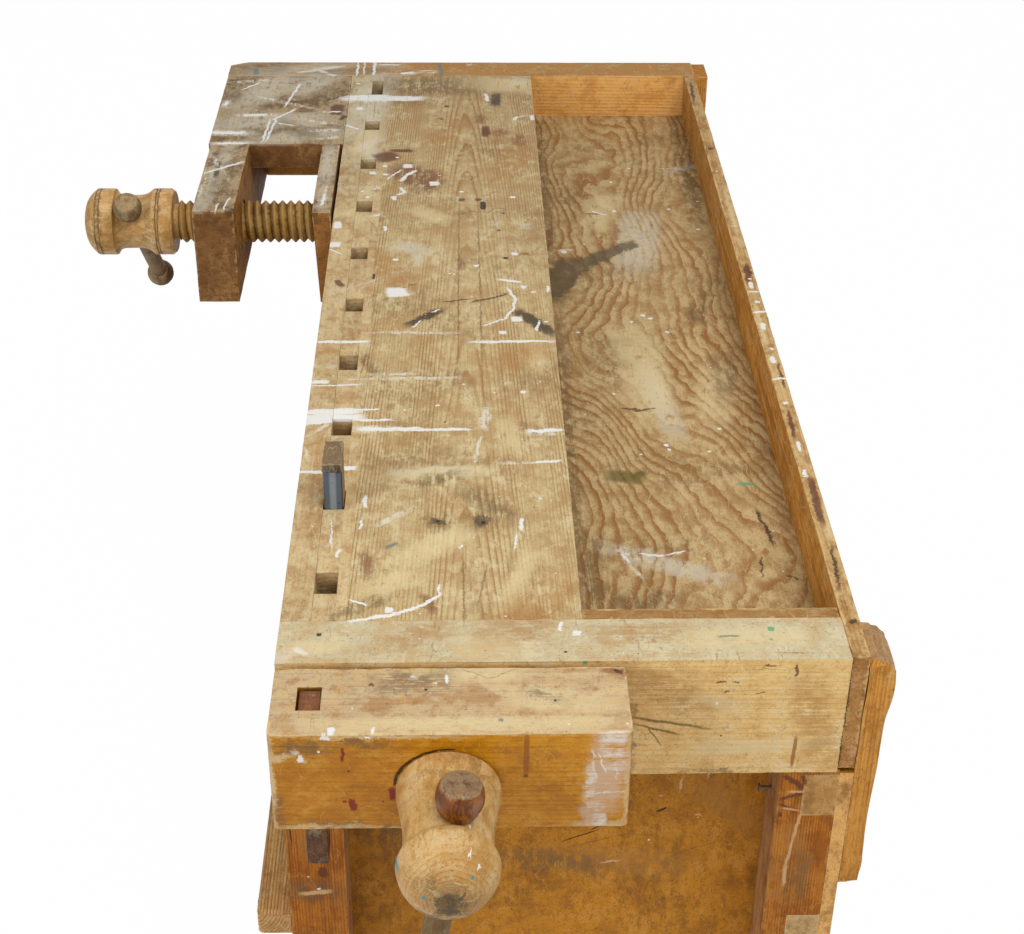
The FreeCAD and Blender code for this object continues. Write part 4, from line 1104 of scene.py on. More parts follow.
    @staticmethod
    def set_down(piece: bpy.types.Object, material: bpy.types.Material, body: str, slot: str,
                 nodes: Sequence[str] = ()) -> None:
        """Gives a finished piece its material and its place in the bench.

        Args:
            piece: the object.
            material: what it is covered with.
            body: the body that it moves with.
            slot: the record's material slot, which is not used.
            nodes: the CAD nodes that it stands for.
        """
        Shop.cover(piece, material)
        for face in piece.data.polygons:
            face.material_index = 0
        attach(piece, body)
        if nodes:
            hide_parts(*nodes)
        log.info("%s: %d faces, on %s", piece.name, len(piece.data.polygons), body)


@dataclass(frozen=True)
class Wear:
    """How the outer edges of a board have worn; lengths are in millimetres."""

    depth: float = 0.0
    grain: float = 25.0
    step: float = 12.0
    reach: float = 9.0
    skin: float = 4.0


@dataclass(frozen=True)
class Chip:
    """A place where the wood is pushed in, or out where the depth is negative; in millimetres."""

    place: tuple[float, float, float]
    size: tuple[float, float, float]
    push: tuple[float, float, float]

    def move(self, piece: bpy.types.Object) -> None:
        """Shifts the points round the chip.

        Args:
            piece: the board.
        """
        centre = ORIGIN + Vector(self.place) * MM
        for point in piece.data.vertices:
            gap = Vector([(point.co[i] - centre[i]) / (self.size[i] * MM) for i in range(3)]).length
            if gap < 1.0:
                point.co += Vector(self.push) * (MM * (1 - gap * gap) ** 2)


@dataclass
class Board:
    """A board with eased, worn edges, copied from its CAD node."""

    node: str
    timber: Timber
    axis: Axis
    slot: str
    ease: float = 1.5
    body: str = "bench"
    layers: tuple[Layer, ...] = ()
    wear: Wear = Wear()
    chips: tuple[Chip, ...] = ()
    corner: float = 40.0

    def build(self, seed: float) -> None:
        """Copies the node, eases and wears its edges and dresses it.

        Args:
            seed: moves the timber's pattern, so that no two boards match.
        """
        box = Box.of(self.node)
        piece = Shop.copy_of(self.node + "_worn", self.node)
        Shop.use(piece, "BEVEL", {"width": self.ease * MM, "segments": 3, "limit_method": "ANGLE",
                                  "angle_limit": math.radians(self.corner), "use_clamp_overlap": True})
        if self.wear.depth:
            self.wear_edges(piece, box)
        Shop.smooth(piece)
        material = self.timber.value.material(self.node, box, self.axis, seed, self.layers)
        Shop.set_down(piece, material, self.body, self.slot, (self.node,))

    def wear_edges(self, piece: bpy.types.Object, box: Box) -> None:
        """Cuts the board across at even steps, and lets its outer edges wander.

        Args:
            piece: the board.
            box: its box.
        """
        reach = self.wear.reach * MM
        for axis in range(3):
            low, high = box.low[axis], box.high[axis]
            count = round((high - low) / (self.wear.step * MM))
            places = [low + (high - low) * i / count for i in range(1, count)]
            places += [place for place in (low + reach, high - reach) if low < place < high]
            Shop.cut_across(piece, axis, places)

        def edge(point: Vector) -> float:
            """Tells how near a point is to an outer edge.

            Args:
                point: the point.

            Returns:
                A share that is 1 on the edge and 0 from the reach inwards.
            """
            inset = sorted(min(point[i] - box.low[i], box.high[i] - point[i]) for i in range(3))
            return max(0.0, 1.0 - inset[1] / reach) if inset[0] < self.wear.skin * MM else 0.0

        Shop.dent(piece, Shop.weigh(piece, edge), self.wear.depth * MM, self.wear.grain * MM, 0.25)
        for chip in self.chips:
            chip.move(piece)


# ---------------------------------------------------------------- marks on the bench
def dot(x: float, y: float, size: float, length: float = 0.0) -> Stroke:
    """A spot, drawn out along the second axis by a length."""
    return (x, y - length / 2, x, y + length / 2, size)


def dots(size: float, *places: tuple[float, float]) -> tuple[Stroke, ...]:
    """Round spots of one size."""
    return tuple(dot(x, y, size) for x, y in places)


def path(width: float, *places: tuple[float, float]) -> tuple[Stroke, ...]:
    """Strokes of one width, each from one place to the next."""
    return tuple((*here, *there, width) for here, there in zip(places, places[1:]))


# Paint, stains and knots on the work surface and on all that lies flush with it.
TOP = Sheet((0, 1), (2, 0.0), {
    Mark.PALE: (
        (135, 178, 185, 222, 34), (115, 342, 205, 348, 22), (245, 405, 242, 455, 26),
        (30, 1290, 45, 1372, 34), (30, 1055, 45, 1042, 30), (130, 1060, 155, 1040, 34),
        (205, 1590, 300, 1570, 60), (285, 590, 285, 640, 18), (200, 20, 240, 20, 34),
        (430, 30, 520, 34, 30), (170, -22, 232, -20, 30), (40, -98, 330, -96, 22),
        (250, -60, 320, -66, 30), (20, 20, 60, 26, 20), (90, 120, 130, 140, 30), (236, 96, 262, 180, 22)),
    Mark.HAZE: (
        (110, 940, 130, 930, 34), (128, 895, 128, 915, 14), (0, 595, 28, 594, 8), (0, 785, 115, 875, 3),
        (-170, 1500, -120, 1600, 70), (-80, 1560, -40, 1640, 60), (-20, 1080, -20, 1150, 14),
        (-200, 1400, -60, 1420, 60), (-120, 1340, -30, 1360, 50), (-180, 1640, -60, 1660, 40),
        (-200, 1080, -180, 1300, 24), (-20, 1180, -20, 1300, 20), (30, 1400, 60, 1640, 60),
        (40, 1310, 50, 1260, 30), (282, 1008, 282, 1010, 16), (238, 1018, 238, 1020, 16),
        (120, 345, 190, 350, 18), (290, 1585, 290, 1600, 36)),
    Mark.AMBER: (
        (70, 900, 110, 820, 40), (250, 600, 280, 640, 40), (260, 1180, 280, 1290, 60),
        (230, 40, 290, 120, 60), (20, 260, 24, 420, 26), (150, 1330, 180, 1400, 40),
        (120, 30, 160, 50, 30), (330, 40, 400, 44, 30)),
    Mark.SMOKE: (
        dot(161, 246, 30), dot(211, 244, 34), (80, 1578, 180, 1580, 78), (100, 100, 60, 74, 16),
        (180, 340, 150, 330, 20), (240, 255, 200, 300, 30), (122, -32, 160, -28, 34),
        (250, -52, 280, -58, 10), (110, 1200, 130, 1170, 60), (60, 620, 90, 560, 14),
        (-60, 1500, -20, 1560, 46), (-185, 1130, -170, 1230, 26), (-100, 1400, -40, 1330, 40),
        (-205, 1650, -140, 1660, 50), (-200, 1520, -190, 1600, 40), (-140, 1480, -60, 1500, 30),
        (-60, 1640, 60, 1650, 30), (-190, 1350, -100, 1380, 34)),
    Mark.BRUISE: (
        (100, 1215, 112, 1190, 46), (140, 1195, 140, 1160, 40), (252, 1365, 254, 1367, 26),
        (283, 1322, 283, 1348, 20), (223, 1412, 223, 1438, 14), (188, 875, 188, 895, 14),
        (120, 822, 122, 822, 8), (265, 916, 290, 918, 6), (82, 180, 88, 150, 14), (150, 104, 156, 84, 12),
        (335, -18, 352, -18, 16)),
    Mark.RUST: (
        (70, 1265, 72, 1266, 36), (84, 1291, 106, 1290, 14), (230, 1352, 230, 1388, 14),
        (18, 832, 24, 822, 10), (190, 1103, 190, 1104, 10), (215, 1103, 215, 1104, 10),
        (243, 995, 243, 996, 5), (-18, 1452, -16, 1476, 22), (343, -18, 344, -18, 8),
        (98, -37, 99, -37, 4), (36, -40, 36, -72, 2)),
    Mark.DARK: (
        (122, 710, 158, 745, 15), (270, 735, 306, 684, 19), (250, 1530, 248, 1490, 17),
        (166, 1480, 166, 1481, 9), (157, 1422, 157, 1423, 7), (-40, 1500, -10, 1530, 4),
        (203, 770, 255, 797, 4), (165, 770, 200, 780, 3), (-8, 1424, -4, 1436, 10),
        (-190, 1190, -188, 1240, 8)),
    Mark.LINE: (
        (190, 60, 189, 170, 2), (203, 80, 215, 160, 2), (184, 560, 186, 1090, 2),
        (215, 560, 214, 1090, 2), (67, 640, 60, 560, 1.5), (52, 1035, 68, 995, 1),
        (45, 1425, 45, 1490, 1.6), *path(2, (180, 1048), (205, 1062), (230, 1058), (240, 1072)),
        (506, 8, 556, 8, 1.2), (240, 1072, 255, 1070, 2), *path(1.2, (186, -12), (214, -28), (240, -14))),
    Mark.SOOT: (dot(161, 246, 15), dot(211, 244, 17), (270, 740, 300, 700, 15)),
    Mark.BLACK: (
        (222, 1072, 222, 1092, 9), dot(42, 43, 5), dot(212, 243, 5), *dots(3, (292, 12), (152, -44),
        (168, 458), (340, -16)), dot(278, 436, 9), dot(297, 439, 9), dot(161, 246, 4), dot(252, 1055, 4),
        dot(252, 905, 7), dot(67, 848, 4, 12), dot(278, -62, 2.5)),
    Mark.BLUE: (
        (106, 196, 116, 203, 5), (-170, 1655, -168, 1630, 9), (151, 1690, 157, 1620, 7), dot(225, -90, 5),
        (450, 36, 470, 36, 3)),
    Mark.GREEN: (dot(311, -4, 5), dot(-195, 1055, 5), dot(505, 47, 7), dot(503, 30, 3)),
    Mark.MILK: ((4, 3, 10, 12, 16), (-4, 1300, -4, 1310, 6), (60, 1340, 30, 1300, 20)),
    Mark.DRY_WHITE: (
        (220, 485, 215, 445, 13), (212, 430, 203, 365, 4), (66, 443, 104, 443, 15), (2, 427, 27, 455, 6),
        (3, 400, 8, 372, 4), (240, 365, 280, 367, 6), (270, 432, 306, 434, 14), (95, 240, 120, 262, 9),
        (65, 563, 180, 565, 7), (75, 575, 125, 575, 6), (65, 685, 180, 684, 6), (96, 685, 120, 685, 9),
        (65, 1145, 60, 1155, 6), (85, 1635, 105, 1635, 18), (122, 1640, 138, 1640, 18),
        (205, 1676, 205, 1684, 10), (-205, 1480, -205, 1502, 14), (-200, 1590, -150, 1600, 12),
        (-150, 1520, -60, 1470, 9), (-60, 1420, -20, 1400, 12), (-90, 1640, -20, 1670, 14),
        (-200, 1260, -170, 1180, 8), (-40, 1340, -10, 1345, 9), (-175, 1440, -125, 1440, 17),
        (-215, 1365, -155, 1362, 24), (-210, 1318, -155, 1322, 16), (-50, 1375, -15, 1375, 12),
        (-45, 1455, -10, 1455, 6), (-18, 1085, -16, 1150, 6), (-206, 1120, -207, 1310, 6),
        (20, 20, 30, 12, 7), (45, 560, 58, 562, 4), (-70, 1660, -25, 1615, 9), (0, 1500, 60, 1500, 10),
        (280, 1430, 300, 1440, 6), (140, -24, 142, -18, 8), (58, 1045, 66, 1052, 8)),
    Mark.WHITE: (
        (0, 482, 60, 484, 14), (0, 468, 60, 470, 17), (0, 456, 30, 462, 9), (60, 489, 85, 489, 4),
        (60, 464, 103, 464, 5), (68, 443, 135, 442, 9), (130, 441, 195, 441, 6), (276, 367, 303, 370, 5),
        (272, 437, 306, 439, 7), (0, 350, 30, 348, 6), (50, 356, 62, 356, 9), (72, 64, 100, 72, 4),
        (98, 72, 120, 77, 6), (118, 77, 140, 88, 5), (138, 87, 155, 98, 4), (153, 97, 165, 111, 4),
        (164, 112, 163, 127, 3), (72, 100, 88, 92, 3.5), *dots(8, (112, 84), (265, 530), (305, 42),
        (275, 815), (267, 1112), (70, 1230)), (255, 250, 253, 228, 4.5), (248, 220, 245, 190, 2),
        (45, 200, 43, 250, 1.6), (52, 180, 55, 190, 4), (78, 295, 80, 275, 5), (76, 250, 75, 232, 3),
        *dots(3, (278, 290), (118, 487), (190, 550), (179, 855), (160, -34)), (185, 195, 188, 200, 3),
        *dots(5, (158, 497), (302, 715), (287, 800), (65, 1048), (58, 1145), (38, 1133), (88, 1263)),
        (290, 60, 288, 50, 4), (0, 660, 65, 661, 7), (203, 659, 305, 661, 6), dot(243, 685, 10),
        dot(52, 1203, 10), (0, 556, 20, 556, 7), (0, 547, 60, 549, 3), dot(100, 800, 28),
        (92, 806, 112, 794, 10), (125, 700, 135, 718, 2.5), (150, 742, 158, 748, 3),
        (292, 715, 288, 690, 4), (253, 810, 262, 780, 4), (262, 782, 258, 745, 4),
        (258, 747, 245, 720, 3.5), (246, 722, 218, 703, 3.5), dot(262, 722, 15), dot(148, 1163, 15),
        (243, 838, 268, 832, 6), dot(308, 808, 4, 14), *dots(7, (96, 900), (210, 880), (72, 1198),
        (190, 1132)), dot(173, 857, 4), dot(155, 1192, 4), dot(8, 950, 16), (0, 935, 20, 918, 3),
        dot(265, 918, 9), dot(8, 1015, 12, 12), dot(78, 1003, 5, 12), dot(88, 1110, 7, 8),
        dot(106, 1230, 14), (118, 1210, 105, 1195, 7), (105, 1195, 98, 1175, 6), (95, 1215, 75, 1180, 3),
        (97, 1145, 105, 1130, 5), (105, 1130, 92, 1122, 4), *dots(6, (48, 1112), (86, 1112), (13, 1583)),
        (0, 1515, 118, 1515, 22), (0, 1524, 60, 1526, 12), (232, 1535, 235, 1505, 6),
        (282, 1432, 278, 1420, 5), dot(308, 1430, 8, 14), dot(20, 1470, 11), (0, 1398, 20, 1380, 4),
        (8, 1625, 8, 1688, 4), (20, 1630, 20, 1688, 3), (38, 1628, 38, 1688, 5), (45, 1675, 80, 1675, 5),
        (88, 1634, 102, 1638, 9), (-185, 1555, -160, 1585, 4), (-88, 1580, -95, 1540, 5),
        (-95, 1540, -105, 1480, 4), (-120, 1420, -88, 1465, 5), (-125, 1420, -130, 1330, 4),
        (-115, 1425, -125, 1330, 3.5), (-110, 1405, -85, 1395, 4), (-30, 1453, -12, 1455, 4),
        (-205, 1205, -155, 1245, 6), (-175, 1090, -178, 1065, 3), (-160, 1110, -165, 1070, 3),
        (-168, 1440, -135, 1441, 8), (-210, 1366, -165, 1363, 12), (-200, 1319, -160, 1321, 7),
        (-205, 1485, -205, 1497, 7), (-20, 1085, -18, 1120, 4), dot(62, -105, 6, 4), dot(102, -105, 3, 6),
        dot(172, -28, 3, 8), (290, -8, 312, -10, 3)),
}, spatter=0.25)

# The outer face of the end jaw, with a painted shadow arc round the screw's collar; and the inside of its dog
# hole, darkened with painted shade.
JAW_FACE = Sheet((0, 2), (1, -111.0), {
    Mark.SMOKE: (
        (10, -16, 60, -14, 14), (6, -80, 8, -112, 9), (40, -115, 160, -117, 7), (60, -12, 110, -12, 8)),
    Mark.PALE: (
        (2, -5, 2, -118, 7), (12, -118, 100, -118, 6), (348, -10, 348, -118, 6),
        (300, -119, 346, -119, 7), (60, -4, 180, -4, 5), (6, -30, 20, -26, 8)),
    Mark.PINK: ((330, -6, 326, -80, 34), (318, -40, 316, -116, 24), (336, -10, 338, -50, 18)),
    Mark.DRY_WHITE: (
        (332, -4, 334, -34, 24), (322, -96, 321, -120, 12), (310, -50, 312, -90, 9),
        (312, -20, 316, -60, 3), (330, -20, 338, -58, 2), (308, -64, 346, -66, 2),
        (310, -78, 344, -76, 2), (28, -22, 34, -33, 8)),
    Mark.WHITE: (
        dot(32, -29, 5, 5), dot(50, -20, 3), dot(57, -4, 7), dot(98, -4, 4), (318, -28, 326, -50, 1.6)),
    # Painted shadow: an arc of dark line just outside the end screw's collar, where the gap between hub and
    # jaw lies in shade.
    Mark.CRACK_AND_SHADOW_GAP: (
        (121.5, -64, 124, -52, 3), *path(3.5, (124, -52), (130, -42), (139, -32)),
        (139, -32, 150, -25, 3), (150, -25, 164, -20.5, 2.5), (164, -20.5, 180, -20, 2)),
    Mark.BLOOD: (
        dot(73, -25, 4, 12), dot(80, -90, 6, 8), dot(119, -77, 6, 11), dot(73, -86, 3), dot(81, -92, 8)),
    Mark.BLACK: (dot(78, -46, 2.5), dot(110, -86, 2)),
    Mark.DRIP: ((249, -5, 249, -50, 5.5),),
    Mark.RUST: (dot(249, -54, 5),),
})

# Painted shade: a dark mark on the walls down inside the jaw's dog hole.
JAW_HOLE_SHADE = Sheet((0, 1), (2, -60.0), {
    Mark.DARK: ((39, -76, 39, -34, 27),),
}, deep=56.0)

# The near end: cap, legs, rail ends and the end grain of the rear board.
NEAR_SIDE = Sheet((0, 2), (1, -2.0), {
    Mark.AMBER: (
        (540, -40, 560, -120, 40), (370, -20, 420, -60, 34), (0, -200, 20, -260, 14),
        (540, -250, 560, -300, 30), (520, -300, 530, -330, 30)),
    Mark.SMOKE: (
        (358, -60, 360, -150, 13), (420, -148, 500, -150, 6), (550, -290, 556, -330, 26),
        (6, -320, 40, -326, 30)),
    Mark.OLIVE: ((362, -74, 440, -90, 3.5), (365, -84, 410, -97, 3), (378, -88, 392, -110, 2)),
    Mark.RUST: (
        (445, -30, 454, -29, 2.2), (464, -29, 468, -28, 2), (453, -42, 458, -40, 2),
        (486, -43, 495, -42, 1.6), (494, -8, 502, -7, 2.4), dot(525, -14, 3, 12), dot(35, -293, 10, 4),
        (530, -162, 546, -176, 7), (528, -192, 546, -186, 6), (526, -200, 536, -206, 5),
        dot(527, -215, 6), dot(548, -166, 5, 9), (582, -2, 582, -148, 1.6)),
    Mark.CRACK_AND_SHADOW_GAP: ((581.4, -2, 581.4, -150, 0.9), (2, -205, 4, -250, 1.2)),
    Mark.DRIP: ((533, -104, 532, -142, 4),),
    Mark.TAN: (
        (549, -212, 544, -250, 3.6), (544, -250, 540, -290, 3.2), (540, -290, 540, -318, 4.4),
        (534, -182, 548, -182, 3), (12, -325, 40, -322, 6), (530, -205, 545, -208, 3)),
    Mark.PALE: ((440, -118, 560, -110, 20), (430, -50, 470, -62, 16)),
    Mark.WHITE: (dot(448, -56, 2.5), dot(466, -58, 2), dot(18, -300, 2), dot(30, -318, 3)),
    Mark.LINE: ((470, -12, 516, -13, 1.2),),
    Mark.BLACK: (dot(455, -100, 2),),
})

# The near end panel.
NEAR_PANEL = Sheet((0, 2), (1, 58.0), {
    Mark.AMBER: ((300, -330, 420, -345, 40), (200, -200, 300, -210, 40), (460, -230, 510, -280, 40)),
    Mark.SMOKE: ((80, -218, 150, -232, 26), (90, -270, 130, -300, 60), (240, -330, 330, -345, 30)),
    Mark.LINE: (
        (300, -318, 372, -296, 1.6), (372, -296, 400, -300, 1.4), (330, -250, 392, -226, 1.2),
        (420, -332, 480, -306, 1.4), (220, -300, 262, -322, 1.2)),
    Mark.CRACK_AND_SHADOW_GAP: (
        dot(128, -222, 8, 2), (330, -290, 352, -276, 1.6), (300, -306, 338, -290, 1.6),
        (404, -262, 412, -258, 3)),
    Mark.MILK: (
        (462, -190, 456, -212, 1.6), (428, -215, 426, -232, 2), (446, -268, 452, -268, 2),
        (404, -240, 408, -238, 2), (250, -262, 256, -262, 2), (345, -340, 362, -338, 2.4)),
    Mark.WHITE: (dot(462, -200, 1.6, 8), dot(448, -272, 2), dot(396, -306, 1.8), dot(352, -245, 1.6)),
    Mark.CYAN: (dot(258, -268, 2.2), dot(352, -248, 2)),
})

# The floor of the tool tray.
TRAY = Sheet((0, 1), (2, -74.0), {
    Mark.PALE: ((440, 620, 430, 800, 60), (520, 600, 530, 700, 44), (400, 1180, 420, 1260, 50)),
    Mark.HAZE: (
        (440, 700, 460, 560, 30), (450, 1040, 470, 1180, 60), (370, 290, 470, 240, 30),
        (540, 1380, 580, 1400, 20)),
    # Painted shade: the strokes near x 316 to 330 run along the tray's wall under the slab's edge; the rest
    # are stains.
    Mark.SMOKE: (
        (318, 100, 322, 900, 26), (330, 300, 330, 180, 40), (316, 940, 318, 1600, 30),
        (360, 190, 420, 200, 26), (560, 1200, 570, 1600, 26), (540, 640, 545, 740, 34),
        (522, 860, 528, 890, 26)),
    Mark.SOOT: (
        (322, 940, 350, 1030, 48), (350, 1010, 400, 1060, 34), (390, 1050, 448, 1100, 26),
        (430, 1090, 452, 1106, 14)),
    Mark.OLIVE: ((378, 450, 400, 446, 26), (404, 452, 412, 456, 12)),
    Mark.RUST: (
        (400, 612, 428, 606, 5), dot(415, 610, 8), (412, 604, 440, 612, 3), (388, 1212, 410, 1212, 3)),
    Mark.DARK: (
        (546, 350, 553, 300, 5), (540, 372, 548, 340, 4), (534, 275, 530, 240, 2.5),
        (559, 240, 568, 232, 3)),
    Mark.GREEN: ((530, 432, 546, 430, 5), dot(536, 424, 3)),
    Mark.DRY_WHITE: (
        (370, 290, 400, 272, 6), (400, 280, 450, 286, 4), *path(5, (372, 292), (380, 262), (392, 240)),
        (520, 1390, 560, 1388, 4), (340, 1080, 356, 1082, 8)),
    Mark.WHITE: (
        dot(345, 1075, 7), *dots(6, (560, 1155), (432, 1222), (448, 870)), *dots(5, (400, 1220),
        (436, 1335), (570, 1260), (520, 1230), (470, 1390), (590, 590), (448, 520), (450, 510),
        (458, 862), (478, 820), (390, 650)), *dots(4, (500, 505), (520, 560), (430, 850), (352, 820)),
        dot(414, 500, 3), (400, 1218, 418, 1208, 3), (396, 284, 420, 280, 3), (430, 284, 446, 290, 3),
        (374, 282, 380, 270, 3)),
}, spatter=0.15)

# The top of the board behind the tray.
REAR_TOP = Sheet((0, 1), (2, 0.0), {
    Mark.DARK: (
        dot(592, 60, 8), dot(594, 860, 8), (588, 120, 594, 190, 4), dot(590, 1300, 7),
        (586, 1500, 590, 1590, 4)),
    Mark.RUST: (
        (590, 240, 592, 330, 8), (588, 420, 590, 480, 5), (594, 540, 594, 600, 4), (588, 830, 592, 880, 8)),
    Mark.PALE: ((594, 210, 596, 260, 8), (586, 650, 588, 760, 6), (592, 960, 594, 1150, 7)),
    Mark.WHITE: (
        dot(588, 340, 5, 12), dot(590, 500, 6), (583, 560, 598, 562, 5), dot(590, 610, 7, 12),
        dot(592, 640, 5), dot(592, 840, 5), dot(590, 700, 6, 10), (584, 740, 598, 742, 6),
        dot(592, 770, 7), dot(590, 820, 6, 14), (584, 800, 598, 800, 4), dot(593, 1010, 4),
        dot(589, 1210, 4), dot(590, 400, 5, 16)),
})

# The nose of the end vise's hub, and the dark rings on the shoulder vise's.
NOSE = Sheet((0, 2), (1, -230.0), {
    Mark.SMOKE: (dot(176, -80, 40), (150, -60, 160, -48, 10), (160, -100, 190, -104, 14)),
    Mark.SOOT: (dot(176, -80, 24), (150, -92, 166, -98, 7)),
    Mark.DARK: (dot(177, -79, 9), (166, -84, 182, -88, 3), (184, -74, 190, -64, 3)),
    Mark.PALE: (
        (150, -58, 166, -64, 3), (182, -52, 196, -60, 3), (186, -78, 200, -70, 3),
        (164, -66, 172, -70, 2.5)),
    Mark.CYAN: (dot(152, -70, 4), dot(126, -62, 4, 4), dot(196, -50, 3)),
    Mark.WHITE: (dot(202, -44, 3), dot(194, -34, 2.5)),
}, deep=30.0)

RINGS = Sheet((0, 1), (2, -76.0), {
    Mark.LINE: tuple((x, 1120, x, 1260, 1.3) for x in (-375, -369, -282, -278)),
    Mark.SMOKE: tuple((x, 1120, x, 1260, width) for x, width in ((-372, 9), (-280, 8))),
}, deep=60.0)

# Steps of (place along an axis, radius); a third number makes an arc that stands off its chord by so much.
Outline = Sequence[tuple[float, ...]]

# The hubs of the two screws from the nose inwards, and the stubs beyond their threads.
END_HUB = ((4, 0), (2.4, 5, 0.6), (0.2, 9, 0.3), (0, 20), (1.2, 26, 0.4), (38, 49.5, 5.2), (51, 43.5, 1.5),
           (84, 43.5, -0.2), (133, 51.5, -0.6), (141, 51.5), (142.7, 49.9), (142.7, 33), (164.7, 33),
           (164.7, 25), (175.3, 25), (175.3, 33), (197, 33), (197, 0))
END_STUB = ((550.7, 0), (550.7, 26.7), (554.7, 22.7), (554.7, 0))
SHOULDER_HUB = ((4, 0), (2.4, 5, 0.6), (0.2, 9, 0.3), (0, 22), (19, 51.2, 3.6), (20, 50.3), (21, 51.5),
                (25, 51.5), (26, 50.3), (27, 51.5), (45, 51.5), (47, 50.8), (60, 41.5, -2.6),
                (86, 41.5, -0.2), (105, 50.6, -2), (107, 51.5), (112, 51.5), (113, 50.3), (114, 51.5),
                (116, 51.5), (117, 50.3), (118, 51.5), (133, 51.5), (138, 47.5), (138, 27.5), (145, 27.5),
                (145, 0))
SHOULDER_STUB = ((354.6, 0), (354.6, 26.7), (366.3, 26.7), (366.3, 22), (371.3, 22), (371.3, 15),
                 (378.9, 15), (378.9, 22), (382.7, 22), (382.7, 0))


# ---------------------------------------------------------------- the vises
@dataclass
class TurnedPiece:
    """A piece turned from an outline and a little worn; lengths are in millimetres."""

    name: str
    outline: Outline
    start: Vector
    along: Vector
    dent: float = 0.5
    grain: float = 14.0

    def build(self) -> bpy.types.Object:
        """Turns the piece and dents its surface.

        Returns:
            The piece.
        """
        piece = Shop.turned(self.name, self.outline, self.start, self.along)
        everywhere = Shop.weigh(piece, lambda point: 1.0)
        Shop.dent(piece, everywhere, self.dent * MM, self.grain * MM, 0.3)
        return piece


@dataclass
class ViseScrew:
    """A wooden vise screw: its hub, its thread and the stub beyond; lengths are in millimetres."""

    name: str
    axis: Axis
    hub: Outline
    stub: Outline
    bar_at: float
    bar_off: float
    bar_radius: float
    bar_along: Vector
    layers: tuple[Layer, ...] = ()
    root: float = 26.7
    crest: float = 32.7
    pitch: float = 13.1
    bar_room: float = 0.3
    drill: float = 140.0
    polish: tuple[float, float] = (3.6, 0.4)
    dirt: float = 2.4
    varnish: float = 0.1

    @property
    def along(self) -> Vector:
        """The way the screw points, from its hub inwards."""
        return Vector([float(i == self.axis.value[2]) for i in range(3)])

    @property
    def nose(self) -> Vector:
        """The middle of the hub's outer end.

        Returns:
            The place.
        """
        box = Box.of(self.name)
        place = box.middle
        lengthwise = self.axis.value[2]
        place[lengthwise] = box.low[lengthwise]
        return place

    @property
    def bar_middle(self) -> Vector:
        """Where the handle's axis crosses the screw's."""
        return self.nose + self.along * (self.bar_at * MM) + Vector((self.bar_off * MM, 0.0, 0.0))

    def build(self) -> None:
        """Makes the hub and the thread."""
        self.turn_hub()
        self.wind_thread()

    def turn_hub(self) -> None:
        """Turns the hub, bores it for the handle and dresses it."""
        name = self.name + "_hub"
        hub = TurnedPiece(name, self.hub, self.nose, self.along).build()
        radius = (self.bar_radius + self.bar_room) * MM
        Shop.bored(hub, self.bar_middle, self.bar_along, radius, self.drill * MM)
        Shop.smooth(hub, TURNED_SHARP)
        skin = Timber.HUB.value.skin(name, Box.of(self.name), self.axis, 3.0, self.layers)
        Shop.set_down(hub, skin.finish(coat=self.varnish), self.name, "hub_beech", (self.name,))

    def wind_thread(self) -> None:
        """Winds the thread, joins the stub to it and dresses both."""
        name = self.name + "_thread"
        start = self.hub[-1][0]
        turns = round((self.stub[0][0] - start) / self.pitch)
        thread = Shop.threaded(name, self.root, self.crest, self.pitch,
                               self.nose + self.along * (start * MM), self.along, turns * self.pitch)
        thread = Shop.joined([thread, Shop.turned("stub", self.stub, self.nose, self.along, SIDES)])
        Shop.smooth(thread, THREAD_SHARP)
        skin = Timber.THREAD.value.skin(name, Box.of(self.name), self.axis, 5.0)
        reach = self.round_axis(skin.graph)
        low, high = (self.crest - depth for depth in self.polish)
        skin.lay(reach.rise(low * MM, high * MM) * 0.7, tone(186, 150, 92))
        skin.lay(reach.rise((self.root + self.dirt) * MM, self.root * MM) * 0.7, tone(58, 42, 24))
        Shop.set_down(thread, skin.finish(), self.name, "hub_beech")

    def round_axis(self, g: Graph) -> Sock:
        """Measures from the screw's axis.

        Args:
            g: the material's graph.

        Returns:
            The distance of the shaded point.
        """
        across, up, _ = self.axis.value
        split = g.parts(g.place() - self.nose)
        return g.length(g.join(split[across], split[up]))


